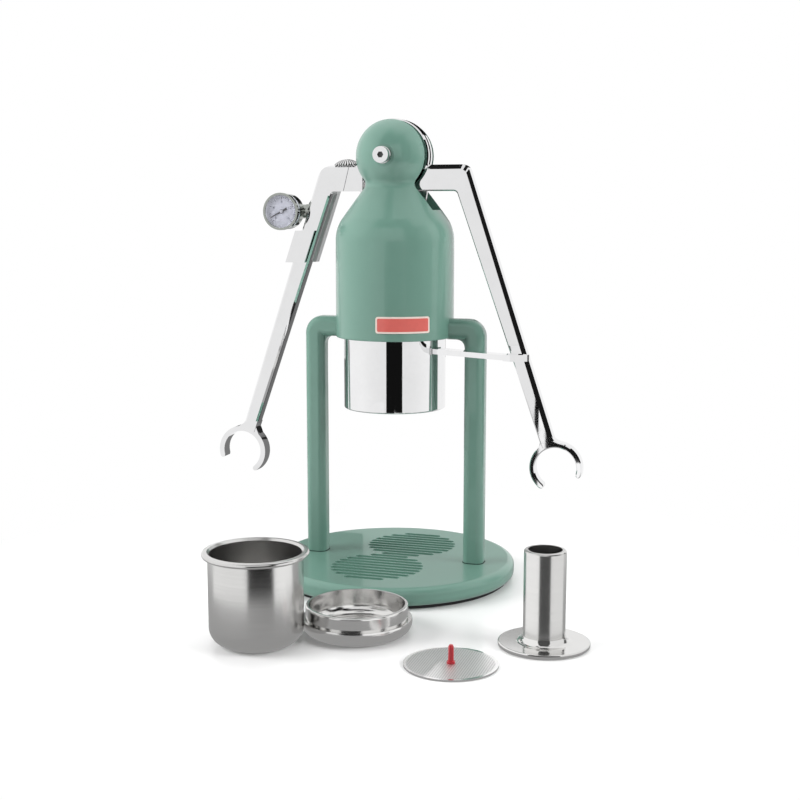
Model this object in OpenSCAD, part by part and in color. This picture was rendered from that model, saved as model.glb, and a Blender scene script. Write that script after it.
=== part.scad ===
// Manual espresso maker: two swinging arms press a piston down through a round holder.
// Millimetres, Z up, origin at the middle of the underside, arms along X, front towards -Y.

/* [Foot plate] */
// Radius of the round foot plate
base_r = 82; // [76:0.5:90]
// Height of the foot plate casting
base_h = 12; // [10:0.5:15]
// Rounding of the rim of the foot plate
base_round = 4.5; // [2.5:0.5:5]
// Thickness of the rubber underlay
mat_h = 2; // [1:0.5:4]
// Distance from the rim to the edge of the underlay
mat_inset = 4.5; // [3:0.5:8]
// Radius of each ribbed pad
pad_r = 31; // [24:0.5:33]
// Distance from the middle of the plate to each pad centre
pad_y = 31; // [29:0.5:36]
// Sideways shift of the two pads, one each way
pad_shift = 3; // [0:0.5:6]
// Spacing of the grooves in the pads
groove_pitch = 6.2; // [5.6:0.2:8]
// Width of one groove
groove_w = 4.8; // [3:0.1:5]
// Depth of the grooves
groove_depth = 1.2; // [0.6:0.1:2]

/* [Legs] */
// Distance of each leg from the rim of the foot plate
leg_inset = 26; // [20:0.5:29]
// Width of the rounded square leg section
leg_w = 13.8; // [12:0.2:15]
// Corner rounding of the leg section
leg_round = 4.8; // [3:0.2:5.5]
// Rise of the top of the leg arch above the underside of the body
arch_rise = 13; // [9:0.2:20]
// Outer rounding where a leg turns inwards
arch_corner = 12; // [7.5:0.5:13]
// Inner rounding where a leg turns inwards
arch_fillet = 5; // [2:0.5:6]
// Depth of the pocket that takes the leg in the body wall
leg_seat = 2; // [1.2:0.1:2.4]

/* [Body] */
// Outer radius of the body
body_r = 39.5; // [39:0.5:43]
// Length of the body from its underside up to the axle
body_len = 119.2; // [118:0.2:124]
// Drop from the axle to where the shoulder cone would meet the body wall
shoulder_drop = 46.8; // [43:0.2:49]
// Lean of the shoulder cone from the vertical, in degrees
shoulder_lean = 35.6; // [33:0.2:37]
// Rounding between body wall and shoulder cone
shoulder_round = 25; // [10:1:30]
// Rounding between shoulder cone and head
neck_round = 5; // [3:0.5:7]
// Easing of the lower edge of the body
body_ease = 0.8; // [0.4:0.1:1.6]
// Wall of the body around the bayonet ring
body_lip = 3; // [2.4:0.1:4]
// Wall of the body around its chambers
body_wall = 8; // [6:0.2:10]
// Thickness of the web that carries the rod guide
web_h = 5.2; // [4:0.2:5.4]

/* [Head and axle] */
// Radius of the round head
head_r = 26; // [25.4:0.2:28]
// Height of the axle above the table
axle_z = 285; // [284.5:0.5:287]
// Half the width of the slot between the cheeks
slot_half = 11.1; // [11:0.1:11.6]
// Radius of the axle bolt
axle_r = 4; // [3:0.25:5]
// Distance from the middle to the flat seats on the head
seat_y = 25; // [24.6:0.1:25.2]
// Radius of the axle cap
cap_r = 5.2; // [4.6:0.1:6.2]
// Thickness of the axle cap
cap_h = 4.4; // [3:0.1:5.5]
// Radius of the axle washers
washer_r = 5.5; // [5.3:0.1:6.8]
// Thickness of the axle washers
washer_h = 2.6; // [1:0.1:3.2]
// Width across the corners of the axle nut
nut_w = 11; // [10:0.1:13]
// Height of the axle nut
nut_h = 4.6; // [3:0.1:6]
// Radius of the spacers between the hubs and the cheeks
cheek_spacer_r = 9; // [7:0.5:12]

/* [Arms] */
// Radius of the arm hubs
hub_r = 24.3; // [23:0.1:25]
// Half the gap between the two hubs, where the links pass
hub_gap = 1.5; // [1.5:0.1:2]
// Top of the shoulder bar, measured down from the axle
bar_top = 5.7; // [4:0.1:7]
// Height of the shoulder bar from its underside to its top
bar_h = 17.1; // [15:0.1:18]
// Depth of the arms from front to back
arm_depth = 10; // [8:0.5:12]
// Lean of the forearm from the vertical, in degrees
arm_lean = 18.9; // [16:0.1:22]
// Distance of the elbow from the centre line, at the middle of the shoulder bar
elbow_x = 46.7; // [44:0.1:50]
// Drop from the middle of the shoulder bar to the claw centre
fore_drop = 188.4; // [176:0.2:196]
// Width of the forearm below the elbow
forearm_top_w = 12; // [10:0.2:13]
// Width of the forearm above the claw
forearm_end_w = 8.8; // [7:0.2:10]
// Rounding of the outer corner of the right elbow
elbow_round = 6.2; // [3:0.2:9]
// Rounding of the outer corner of the left elbow
left_elbow_round = 11.4; // [6:0.2:12]
// Inner rounding of the elbows
elbow_fillet = 3; // [1:0.5:5]
// Bevel along the long edges of the arms
arm_bevel = 1.2; // [0.6:0.1:1.6]
// Inner radius of the claw ring
claw_in_r = 13.8; // [12:0.2:16]
// Thickness of the claw ring across
claw_t = 3.5; // [2.8:0.1:4.5]
// Depth of the claw ring from front to back
claw_depth = 9; // [6:0.5:10]
// Opening of the claw ring, in degrees
claw_open = 112; // [90:1:140]

/* [Links] */
// Distance from the axle to the link pins
crank_r = 28; // [27.4:0.1:28.6]
// Angle of the link pins below the level of the axle
crank_a = 46; // [45:0.2:47]
// Sideways offset of the lower end of a link from its pin
link_dx = 11.3; // [10.8:0.1:11.8]
// Drop of the lower end of a link below its pin
link_drop = 64; // [63.4:0.1:64.6]
// Width of a link
link_w = 7; // [6:0.2:7]
// Thickness of a link
link_t = 2.4; // [2:0.1:2.5]
// Radius of the link pins
pin_r = 2.4; // [1.8:0.1:2.6]

/* [Piston] */
// Half the length of the crosshead
cross_half = 23; // [22:0.2:26]
// Depth of the crosshead from front to back
cross_depth = 11.6; // [10:0.2:12]
// Radius of the piston rod
rod_r = 6; // [5:0.25:7]
// Rise of the piston at rest above the underside of the holder
piston_up = 8.2; // [7:0.2:9]
// Height of the piston
piston_h = 11; // [8:0.5:11.5]

/* [Holder] */
// Reach of the bayonet lugs beyond the wall of the holder
lug_reach = 1.9; // [1.6:0.1:2.4]
// Easing of the lower edge of the holder
holder_ease = 1; // [0.4:0.1:2]
// Wall of the holder around its bore
holder_wall = 5.6; // [4.6:0.1:6.5]
// Length of the holder below the body
holder_len = 48; // [44:0.5:52]
// Length of the holder inside the body
holder_in = 6.2; // [5.6:0.1:7.4]
// Direction of the handle from the X axis towards the front, in degrees
handle_a = 22.5; // [21:0.5:30]
// Length of the handle to its end cap, from the centre
handle_r = 91.7; // [84:0.1:100]
// Length of the end cap of the handle on its long side
handle_cap_l = 13.3; // [9:0.1:16]
// Length of the end cap of the handle on its short side
handle_cap_s = 5.5; // [3:0.1:8]
// Rise of the handle above the underside of the holder
handle_up = 40.5; // [38:0.1:42]
// Thickness of the handle
handle_t = 3.4; // [2.5:0.1:5]
// Width of the handle
handle_w = 9; // [7:0.5:11]

/* [Gauge] */
// Distance of the gauge centre from the outer face of the forearm
gauge_out = 14.6; // [14:0.1:18]
// Drop from the middle of the shoulder bar to the gauge centre
gauge_drop = 21.8; // [19:0.1:24]
// Radius of the gauge bezel
bezel_r = 12.4; // [11:0.1:13]
// Distance of the front of the bezel from the centre plane
gauge_front = 17; // [16:0.2:19]
// Length of the straight part of the gauge case
case_len = 11; // [9:0.5:11.5]
// Width of the ring of the bezel that frames the dial
bezel_ring = 1.5; // [1.2:0.1:2.4]
// Depth of the dial below the front of the bezel
dial_depth = 3.2; // [2.6:0.1:5]
// Radius of the gauge stem
stem_r = 5.6; // [4.5:0.1:6]

/* [Set pieces] */
// Direction from the spout bowl to the basket, in degrees behind the X axis
basket_a = 35.4; // [34:0.2:44]
// Space between the basket and the spout bowl where they come nearest
basket_space = 0.1; // [0.1:0.1:6]
// Reach of the rolled rim beyond the wall of the basket
rim_reach = 3.4; // [2.8:0.1:3.8]
// Radius of the rolled rim of the basket
rim_round = 1.6; // [1.1:0.1:1.7]
// Height of the basket
basket_h = 55.4; // [50:0.2:60]
// Rounding at the foot of the basket
basket_round = 11; // [6:0.5:14]
// Wall of the basket
basket_wall = 0.9; // [0.7:0.1:1.2]
// Radius of each hole in the floor of the basket
strain_r = 0.7; // [0.4:0.1:1]
// Spacing of the rings of holes in the floor of the basket
strain_pitch = 3.2; // [2.6:0.1:4]
// Sideways place of the spout bowl
bowl_x = 14.2; // [14:0.2:18]
// Forward place of the spout bowl
bowl_y = -122.8; // [-123:0.2:-118]
// Radius of the widest part of the spout bowl
bowl_r = 33.2; // [30:0.2:33.4]
// Step in from the widest part of the spout bowl to its upright ring
bowl_step = 2.4; // [1.6:0.1:3.2]
// Height of the spout bowl
bowl_h = 17.6; // [15:0.2:19]
// Height of the rounded dish of the spout bowl
dish_h = 9.4; // [8:0.2:10.4]
// Wall of the spout bowl
bowl_wall = 1.6; // [1.2:0.1:2]
// Sideways place of the screen
screen_x = 82.5; // [78:0.5:88]
// Forward place of the screen
screen_y = -161.5; // [-168:0.5:-156]
// Thickness of the screen
screen_t = 1; // [0.8:0.1:1.5]
// Height of the plug that lifts the screen
plug_h = 10.6; // [8:0.2:14]
// Radius of the collar at the foot of the plug
plug_r = 2.4; // [2:0.1:3.4]
// Radius of the stem of the plug
plug_stem_r = 1.6; // [1.2:0.1:1.8]
// Sideways place of the tamper
tamper_x = 125.6; // [122:0.2:130]
// Forward place of the tamper
tamper_y = -113; // [-118:0.5:-110]
// Thickness of the tamper foot
tamper_t = 2.6; // [2:0.1:4]
// Radius of the tamper tube
tube_r = 12.3; // [11:0.1:13]
// Wall of the tamper tube
tube_wall = 2.4; // [1.6:0.1:3]
// Height of the tamper
tamper_h = 57; // [50:0.5:62]
// Flare between the tamper tube and its foot
flare = 3.8; // [2:0.2:5]

/* [Fits] */
// Radial clearance of a shaft that turns in a bore
run_fit = 0.06; // [0.03:0.01:0.1]
// Clearance of a piece that is set into a pocket
seat_fit = 0.05; // [0.02:0.01:0.08]
// Clearance between parts that move past each other
pass_gap = 0.4; // [0.3:0.05:0.4]
// Clearance between the basket and the bore of the holder
basket_gap = 0.8; // [0.5:0.1:1]
// Clearance between the piston and the basket
piston_gap = 0.3; // [0.2:0.05:0.5]
// Clearance between the tamper and the basket
tamper_gap = 0.1; // [0.1:0.1:0.6]
// Clearance between the screen and the basket
screen_gap = 0.3; // [0.1:0.1:0.8]

/* [Hidden] */
$fn = 72;

eps = 0.01;
far = 400;
enamel = [0.44, 0.61, 0.54];
chrome = [0.82, 0.82, 0.83];
steel = [0.7, 0.7, 0.7];
black = [0.08, 0.08, 0.08];
red = [0.75, 0.12, 0.14];

base_top = mat_h + base_h;
leg_x = base_r - leg_inset;
body_z = axle_z - body_len;
shoulder_z = axle_z - shoulder_drop;
arch_z = body_z + arch_rise;
leg_half = leg_w / 2;
arch_mid = arch_z - leg_half;
bend_x = leg_x + leg_half - arch_corner;
bend_z = arch_z - arch_corner;
leg_end_x = body_r - leg_seat;
ring_bore_r = body_r - body_lip;
hollow_r = body_r - body_wall;
holder_lug_r = ring_bore_r - pass_gap;
holder_r = holder_lug_r - lug_reach;
holder_bore = holder_r - holder_wall;
basket_r = holder_bore - basket_gap;
basket_rim_r = basket_r + rim_reach;
basket_in_r = basket_r - basket_wall;
basket_away = bowl_r + basket_r + basket_space;
basket_x = bowl_x - basket_away * cos(basket_a);
basket_y = bowl_y - basket_away * sin(basket_a);
holder_z = body_z - holder_len;
holder_top = body_z + holder_in;
handle_z = holder_z + handle_up;
piston_z = holder_z + piston_up;
piston_r = basket_in_r - piston_gap;
screen_r = basket_in_r - screen_gap;
tamper_r = basket_in_r - tamper_gap;

// Shoulder cone: outward normal and a point on the cone where it would meet the wall.
cone_nx = cos(shoulder_lean);
cone_nz = sin(shoulder_lean);
round_t = shoulder_round * tan(shoulder_lean / 2);
round_z = shoulder_z - round_t;
cone_x0 = body_r - shoulder_round + shoulder_round * cone_nx;
cone_z0 = round_z + shoulder_round * cone_nz;
// Centre of the neck rounding, tangent to the cone and to the head.
neck_k = cone_nx * body_r + cone_nz * (shoulder_z - axle_z) + neck_round;
neck_s = -sqrt(pow(head_r + neck_round, 2) - neck_k * neck_k);
neck_x = neck_k * cone_nx - neck_s * cone_nz;
neck_z = axle_z + neck_k * cone_nz + neck_s * cone_nx;
neck_cone_x = neck_x - neck_round * cone_nx;
neck_cone_z = neck_z - neck_round * cone_nz;
neck_head_x = neck_x * head_r / (head_r + neck_round);
neck_head_z = axle_z + (neck_z - axle_z) * head_r / (head_r + neck_round);

// Arm slot: its floor clears the lugs that swing about the axle.
lug_r = 6.2;
lug_clear = 0.8;
slot_z = axle_z - crank_r - lug_r - lug_clear;
ceiling_h = 9.4;
slot_bed = 5.6;
dome_top = slot_z - slot_bed;
dome_z = dome_top - ceiling_h;
dome_r = hollow_r - 6.5;
well_gap = 0.9;
well_half_x = cross_half + well_gap;
well_half_y = cross_depth / 2 + pass_gap;
groove_out = crank_r - 1.5;
groove_in = 2.6;
groove_half = link_t / 2 + 2 * pass_gap;

// Forearm: centre line from the claw centre up to the shoulder bar.
fore_tan = tan(arm_lean);
bar_up = axle_z - bar_top;
bar_bot = bar_up - bar_h;
bar_mid = (bar_up + bar_bot) / 2;
claw_z = bar_mid - fore_drop;
claw_x = elbow_x + fore_drop * fore_tan;
claw_out_r = claw_in_r + claw_t;
// Flare of the forearm where it meets the claw ring.
neck_flare = 4.2;
neck_sink = 1.2;
neck_up = 2.8;
// The forearm ends inside the claw ring; its two edges run from there to the shoulder bar.
end_r = claw_in_r + claw_t / 2;
end_half = forearm_end_w / 2;
end_in_x = claw_x - end_r * sin(arm_lean) - end_half * cos(arm_lean);
end_in_z = claw_z + end_r * cos(arm_lean) - end_half * sin(arm_lean);
end_out_x = claw_x - end_r * sin(arm_lean) + end_half * cos(arm_lean);
end_out_z = claw_z + end_r * cos(arm_lean) + end_half * sin(arm_lean);
arm_half_x = forearm_top_w / 2 / cos(arm_lean);
in_bot = claw_x - (bar_bot - claw_z) * fore_tan - arm_half_x;
out_bot = in_bot + 2 * arm_half_x;
in_slope = (end_in_x - in_bot) / (bar_bot - end_in_z);
out_slope = (end_out_x - out_bot) / (bar_bot - end_out_z);
out_top = out_bot - bar_h * out_slope;
out_a = atan(out_slope);
in_a = atan(in_slope);
fillet_x = in_bot - elbow_fillet * tan((90 - in_a) / 2);
fillet_z = bar_bot - elbow_fillet;
bevel_end_z = claw_z + claw_out_r + neck_up + 0.6;
arm_half = arm_depth / 2;
hub_clear = hub_r + 2 * pass_gap;
pin_x = crank_r * cos(crank_a);
pin_z = axle_z - crank_r * sin(crank_a);
foot_x = pin_x - link_dx;
foot_z = pin_z - link_drop;
link_a = atan(link_dx / link_drop);
link_len = sqrt(link_dx * link_dx + link_drop * link_drop);
link_slot = link_t / 2 + 0.3;
lug_half_a = 10;
rear_start = pin_x + 1.6;

// Crosshead: height of its parts about the lower ends of the links.
travel_x = crank_r - pin_x;
slot_spare = 0.4;
pin_play = 1;
slot_drop = 0.6;
cross_up = 5;
cross_down = 9;
cross_top = foot_z + cross_up;
cross_bot = foot_z - cross_down;
tenon_h = 3;
web_gap = 2.2;
web_top = cross_bot - web_gap;
web_z = web_top - web_h;
rod_end = 4;
rod_bot = piston_z - rod_end;
bush_wall = 3.5;
bush_r = rod_r + bush_wall;
ring_h = 2.7;
lug_z = body_z + ring_h + 0.15;
rim_seat = 4;
rim_seat_z = holder_top - rim_seat;
bore_lip_r = holder_bore - 4.6;

fore_perp = forearm_top_w / 2;
gauge_z = bar_mid - gauge_drop;
arm_face_x = elbow_x + gauge_drop * fore_tan + fore_perp / cos(arm_lean);
gauge_x = arm_face_x + gauge_out;
clamp_drop = 34.6;
clamp_top = bar_mid - clamp_drop;
clamp_h = 21.4;
clamp_lip = 3;
seam_off = 8.1;
seam_x = hub_r + seam_off;
seam_lean = 14;
seam_gap = 0.12;
knob_r = 8.6;
knob_h = 4.2;
knob_x = hub_r + knob_r + pass_gap;

// One flat shape in the plane of the arms, given a depth about the centre plane.
module slab(depth, y = 0) {
  translate([0, y + depth / 2, 0])
    rotate([90, 0, 0])
      linear_extrude(height = depth)
        children();
}

// A bar lying along Y.
module bar_y(r, y0, y1) {
  translate([0, y1, 0])
    rotate([90, 0, 0])
      cylinder(r = r, h = y1 - y0);
}

// A rounded square about the origin.
module round_square(w, r) {
  square([w, w - 2 * r], center = true);
  square([w - 2 * r, w], center = true);
  for (sx = [-1, 1], sy = [-1, 1])
    translate([sx * (w / 2 - r), sy * (w / 2 - r)])
      circle(r = r);
}

module base_outline() {
  square([base_r - base_round, base_h]);
  translate([0, base_round])
    square([base_r, base_h - 2 * base_round]);
  for (z = [base_round, base_h - base_round])
    translate([base_r - base_round, z])
      circle(r = base_round);
}

// Straight grooves with round ends that fill one round pad.
module pad_grooves() {
  count = floor((pad_r - groove_w / 2) / groove_pitch + 0.5);
  for (i = [-count:count - 1]) {
    row_y = (i + 0.5) * groove_pitch;
    half = sqrt(pad_r * pad_r - row_y * row_y) - groove_w / 2;
    translate([-half, row_y - groove_w / 2, 0])
      cube([2 * half, groove_w, groove_depth + 1]);
    for (sx = [-1, 1])
      translate([sx * half, row_y, 0])
        cylinder(r = groove_w / 2, h = groove_depth + 1);
  }
}

screw_r = 3;
screw_head_r = 5.2;
screw_head_h = 3.4;
screw_up = 14;

module base_plate() {
  color(enamel)
    difference() {
      translate([0, 0, mat_h])
        rotate_extrude()
          intersection() {
            base_outline();
            square([base_r + 1, base_h]);
          }
      for (s = [-1, 1]) {
        translate([s * pad_shift, s * pad_y, base_top - groove_depth])
          pad_grooves();
        translate([s * leg_x, 0, mat_h - 1])
          cylinder(r = screw_r + seat_fit, h = base_h + 2);
        translate([s * leg_x, 0, mat_h - 1])
          cylinder(r = screw_head_r + 0.4, h = screw_head_h + 1 + seat_fit);
      }
    }
}

module foot_mat() {
  color(black)
    cylinder(r = base_r - mat_inset, h = mat_h);
}

module base_screws() {
  color(steel)
    for (s = [-1, 1])
      translate([s * leg_x, 0, 0]) {
        difference() {
          translate([0, 0, mat_h + seat_fit])
            cylinder(r = screw_head_r, h = screw_head_h);
          translate([0, 0, mat_h])
            cylinder(r = 2.4, h = 2, $fn = 6);
        }
        translate([0, 0, mat_h + screw_head_h])
          cylinder(r = screw_r, h = base_h - screw_head_h + screw_up);
      }
}

// One leg on the +X side, turning inwards to the body at the top.
module leg() {
  difference() {
    union() {
      translate([leg_x, 0, base_top])
        linear_extrude(height = bend_z - base_top)
          round_square(leg_w, leg_round);
      translate([leg_end_x + seat_fit, 0, arch_mid])
        rotate([90, 0, 90])
          linear_extrude(height = bend_x - leg_end_x - seat_fit)
            round_square(leg_w, leg_round);
      translate([bend_x, 0, bend_z])
        rotate([90, 0, 0])
          rotate_extrude(angle = 90)
            intersection() {
              translate([arch_corner - leg_half, 0])
                round_square(leg_w, leg_round);
              translate([0, -leg_half])
                square([arch_corner, leg_w]);
            }
      translate([leg_x - leg_half - arch_fillet, 0, arch_z - leg_w - arch_fillet])
        slab(leg_w - 2 * leg_round + 2)
          difference() {
            square(arch_fillet + 1);
            circle(r = arch_fillet);
          }
    }
    translate([leg_x, 0, base_top - 1])
      cylinder(r = screw_r + seat_fit, h = screw_up + 1.5);
  }
}

module leg_right() {
  color(enamel)
    leg();
}

module leg_left() {
  color(enamel)
    mirror([1, 0, 0])
      leg();
}

// Half section of a round solid with a rounded lower edge.
module foot_rounded(r, z0, rr, z1) {
  translate([0, z0])
    square([r - rr, z1 - z0]);
  translate([0, z0 + rr])
    square([r, z1 - z0 - rr]);
  translate([r - rr, z0 + rr])
    circle(r = rr);
}

// Outline of the body, neck and head, to one side of the axis.
module body_outline() {
  difference() {
    union() {
      foot_rounded(body_r, body_z, body_ease, round_z);
      intersection() {
        translate([body_r - shoulder_round, round_z])
          circle(r = shoulder_round);
        polygon([[0, round_z - 1], [body_r + 1, round_z - 1], [body_r + 1, cone_z0], [cone_x0, cone_z0],
                 [0, cone_z0]]);
      }
      polygon([[0, round_z], [cone_x0, round_z], [cone_x0, cone_z0], [neck_cone_x, neck_cone_z],
               [neck_x, neck_z], [neck_head_x, neck_head_z], [0, neck_head_z]]);
      intersection() {
        translate([0, axle_z])
          circle(r = head_r);
        translate([0, axle_z - head_r])
          square(2 * head_r);
      }
    }
    translate([neck_x, neck_z])
      circle(r = neck_round);
  }
}

module body_shell() {
  color(enamel)
    difference() {
      rotate_extrude()
        body_outline();
      // Bore for the bayonet ring, chamber for the piston, web and upper chamber.
      translate([0, 0, body_z - 1])
        cylinder(r = ring_bore_r, h = holder_top + 2 - body_z + 1);
      translate([0, 0, body_z])
        cylinder(r = hollow_r, h = web_z - body_z);
      translate([0, 0, web_z - 1])
        cylinder(r = bush_r, h = web_h + 2);
      translate([0, 0, web_top])
        cylinder(r = hollow_r, h = dome_z - web_top);
      translate([0, 0, dome_z - eps])
        cylinder(r1 = hollow_r, r2 = dome_r, h = dome_top - dome_z);
      // Well for the crosshead and grooves for the links in the slot floor.
      translate([-well_half_x, -well_half_y, web_top])
        cube([2 * well_half_x, 2 * well_half_y, slot_z - web_top + 1]);
      for (s = [0, 1])
        mirror([s, 0, 0])
          translate([groove_in, -groove_half, dome_z + ceiling_h / 3])
            cube([groove_out - groove_in, 2 * groove_half, slot_z - dome_z]);
      // Slot for the arms and bore for the axle.
      translate([-body_r, -slot_half, slot_z])
        cube([2 * body_r, 2 * slot_half, axle_z + head_r - slot_z + 1]);
      translate([0, 0, axle_z])
        bar_y(axle_r + seat_fit, -head_r - 1, head_r + 1);
      for (s = [-1, 1])
        translate([-head_r, s > 0 ? seat_y : -seat_y - head_r, axle_z - head_r])
          cube([2 * head_r, head_r, 2 * head_r]);
      // Pockets for the two legs.
      for (s = [0, 1])
        mirror([s, 0, 0])
          translate([leg_end_x, 0, arch_mid])
            rotate([90, 0, 90])
              linear_extrude(height = body_r)
                round_square(leg_w + 2 * seat_fit, leg_round + seat_fit);
    }
}

module guide_bush() {
  color([0.75, 0.6, 0.3])
    translate([0, 0, web_z])
      difference() {
        cylinder(r = bush_r - seat_fit, h = web_h);
        translate([0, 0, -1])
          cylinder(r = rod_r + run_fit, h = web_h + 2);
      }
}

lug_span = 28;
gap_span = 40;
lug_turn = 60;

// A ring piece that spans an angle about the Z axis.
module arc_piece(r0, r1, h, span) {
  rotate([0, 0, -span / 2])
    rotate_extrude(angle = span)
      translate([r0, 0])
        square([r1 - r0, h]);
}

module bayonet_ring() {
  color(steel)
    translate([0, 0, body_z])
      difference() {
        cylinder(r = ring_bore_r - seat_fit, h = ring_h);
        translate([0, 0, -1])
          cylinder(r = holder_r + pass_gap, h = ring_h + 2);
        for (i = [0:2])
          rotate([0, 0, -handle_a + lug_turn + i * 120])
            translate([0, 0, -1])
              arc_piece(holder_r - 1, holder_lug_r + 0.1, ring_h + 2, gap_span);
      }
}

module axle_bolt() {
  color(chrome)
    translate([0, 0, axle_z])
      difference() {
        union() {
          bar_y(axle_r, -seat_y - washer_h, seat_y + washer_h + nut_h + 1);
          bar_y(cap_r, -seat_y - washer_h - cap_h, -seat_y - washer_h);
        }
        translate([0, -seat_y - washer_h - cap_h + 2.2, 0])
          rotate([90, 0, 0])
            cylinder(r = 2.1, h = 3, $fn = 6);
      }
}

module axle_washer(side) {
  color(chrome)
    translate([0, 0, axle_z])
      difference() {
        bar_y(washer_r, side > 0 ? seat_y : -seat_y - washer_h, side > 0 ? seat_y + washer_h : -seat_y);
        bar_y(axle_r + seat_fit, -2 * head_r, 2 * head_r);
      }
}

module axle_washer_front() {
  axle_washer(-1);
}

module axle_washer_rear() {
  axle_washer(1);
}

module axle_nut() {
  color(chrome)
    translate([0, 0, axle_z])
      difference() {
        translate([0, seat_y + washer_h + nut_h, 0])
          rotate([90, 0, 0])
            cylinder(r = nut_w / 2, h = nut_h, $fn = 6);
        bar_y(axle_r + seat_fit, -2 * head_r, 2 * head_r);
      }
}

spacer_r = 8;

module hub_spacer() {
  color(steel)
    translate([0, 0, axle_z])
      difference() {
        bar_y(spacer_r, -hub_gap + seat_fit, hub_gap - seat_fit);
        bar_y(axle_r + seat_fit, -hub_gap - 1, hub_gap + 1);
      }
}

module cheek_spacers() {
  color(steel)
    for (s = [0, 1])
      mirror([0, s, 0])
        translate([0, 0, axle_z])
          difference() {
            bar_y(cheek_spacer_r, arm_half + seat_fit, slot_half - seat_fit);
            bar_y(axle_r + seat_fit, 0, head_r);
          }
}

bar_start = 6;

// Outline of the shoulder bar and forearm with one outer elbow rounding, without bevels.
module arm_outline(er) {
  cut = er * tan((90 - out_a) / 2);
  arc_x = out_top - cut;
  arc_z = bar_up - er;
  polygon([[bar_start, bar_bot], [in_bot, bar_bot], [end_in_x, end_in_z], [end_out_x, end_out_z],
           [out_top + cut * sin(out_a), bar_up - cut * cos(out_a)], [arc_x, arc_z],
           [arc_x, bar_up], [bar_start, bar_up]]);
  polygon([[bar_start, bar_bot], [2 * bar_start, bar_bot], [2 * bar_start, axle_z], [bar_start, axle_z]]);
  difference() {
    polygon([[fillet_x, fillet_z], [fillet_x, bar_bot + 1], [in_bot + 2, bar_bot + 1],
             [fillet_x + (elbow_fillet + 1) * cos(in_a), fillet_z + (elbow_fillet + 1) * sin(in_a)]]);
    translate([fillet_x, fillet_z])
      circle(r = elbow_fillet);
  }
  intersection() {
    translate([arc_x, arc_z])
      circle(r = er);
    polygon([[arc_x, arc_z], [arc_x + far * cos(out_a), arc_z + far * sin(out_a)],
             [arc_x + far * cos(out_a), arc_z + far], [arc_x, arc_z + far]]);
  }
}

// Claw ring about its centre, open along the line of the forearm, with round ends and a blended neck.
module claw_outline() {
  difference() {
    circle(r = claw_out_r);
    circle(r = claw_in_r);
    rotate([0, 0, -90 + arm_lean])
      polygon([[0, 0], [far, -far * tan(claw_open / 2)], [far, far * tan(claw_open / 2)]]);
  }
  for (s = [-1, 1])
    rotate([0, 0, -90 + arm_lean + s * claw_open / 2])
      translate([end_r, 0])
        circle(r = claw_t / 2 - 0.15);
  rotate([0, 0, arm_lean])
    polygon([[-end_half - neck_flare, end_r - neck_sink], [end_half + neck_flare, end_r - neck_sink],
             [end_half - 0.3, claw_out_r + neck_up], [0.3 - end_half, claw_out_r + neck_up]]);
}

// A square bar laid along an edge so that it cuts a bevel from it.
module edge_cut(x0, z0, x1, z1, y) {
  len = sqrt(pow(x1 - x0, 2) + pow(z1 - z0, 2));
  side = arm_bevel * sqrt(2);
  translate([(x0 + x1) / 2, y, (z0 + z1) / 2])
    rotate([0, -atan2(z1 - z0, x1 - x0), 0])
      rotate([45, 0, 0])
        cube([len, side, side], center = true);
}

module arm_bevels(er) {
  fade = er * (tan((90 - out_a) / 2) - 2 / 3);
  for (s = [-1, 1]) {
    edge_cut(hub_clear, bar_up, out_top - fade, bar_up, s * arm_half);
    edge_cut(out_top + fade * sin(out_a), bar_up - fade * cos(out_a),
             out_bot + (bar_bot - bevel_end_z) * out_slope, bevel_end_z, s * arm_half);
    edge_cut(in_bot + elbow_fillet * in_slope, bar_bot - elbow_fillet, in_bot + (bar_bot - bevel_end_z) * in_slope, bevel_end_z,
             s * arm_half);
  }
}

// The arm on the +X side, whose hub lies in the front half of the slot.
module arm_solid(er) {
  difference() {
    union() {
      translate([0, 0, axle_z])
        bar_y(hub_r, -arm_half, -hub_gap);
      translate([pin_x, 0, pin_z])
        bar_y(lug_r, -arm_half, -hub_gap);
      difference() {
        slab(arm_depth)
          arm_outline(er);
        translate([0, 0, axle_z])
          bar_y(hub_clear, -hub_gap, arm_half + 1);
        translate([0, -hub_gap, pin_z - 2 * lug_r])
          cube([rear_start, arm_half + 2 * hub_gap, 4 * lug_r]);
        arm_bevels(er);
      }
      translate([claw_x, 0, claw_z])
        slab(claw_depth)
          claw_outline();
    }
    translate([0, 0, axle_z])
      bar_y(bush_out_r, -arm_half - 1, -hub_gap + 1);
    // Slot for the link and bore for its pin.
    translate([0, 0, axle_z])
      rotate([90, 0, 0])
        translate([0, 0, -link_slot])
          linear_extrude(height = 2 * link_slot)
            union() {
              intersection() {
                circle(r = crank_r + link_w / 2 + 1);
                polygon([[0, 0], [0, -far],
                         [far * cos(crank_a - lug_half_a), -far * sin(crank_a - lug_half_a)]]);
              }
            }
    translate([pin_x, 0, pin_z])
      bar_y(pin_r + seat_fit, -arm_half - 1, 0);
  }
}

bush_out_r = 6.5;

module right_arm() {
  color(chrome)
    arm_solid(elbow_round);
}

module hub_bush() {
  translate([0, 0, axle_z])
    difference() {
      bar_y(bush_out_r - seat_fit, -arm_half, -hub_gap);
      bar_y(axle_r + run_fit, -arm_half - 1, -hub_gap + 1);
    }
}

module right_hub_bush() {
  color([0.75, 0.6, 0.3])
    hub_bush();
}

module left_hub_bush() {
  color([0.75, 0.6, 0.3])
    rotate([0, 0, 180])
      hub_bush();
}

module link_pin() {
  translate([pin_x, 0, pin_z])
    bar_y(pin_r, -arm_half + 0.8, link_t / 2);
}

module right_link_pin() {
  color(steel)
    link_pin();
}

module left_link_pin() {
  color(steel)
    rotate([0, 0, 180])
      link_pin();
}

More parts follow.
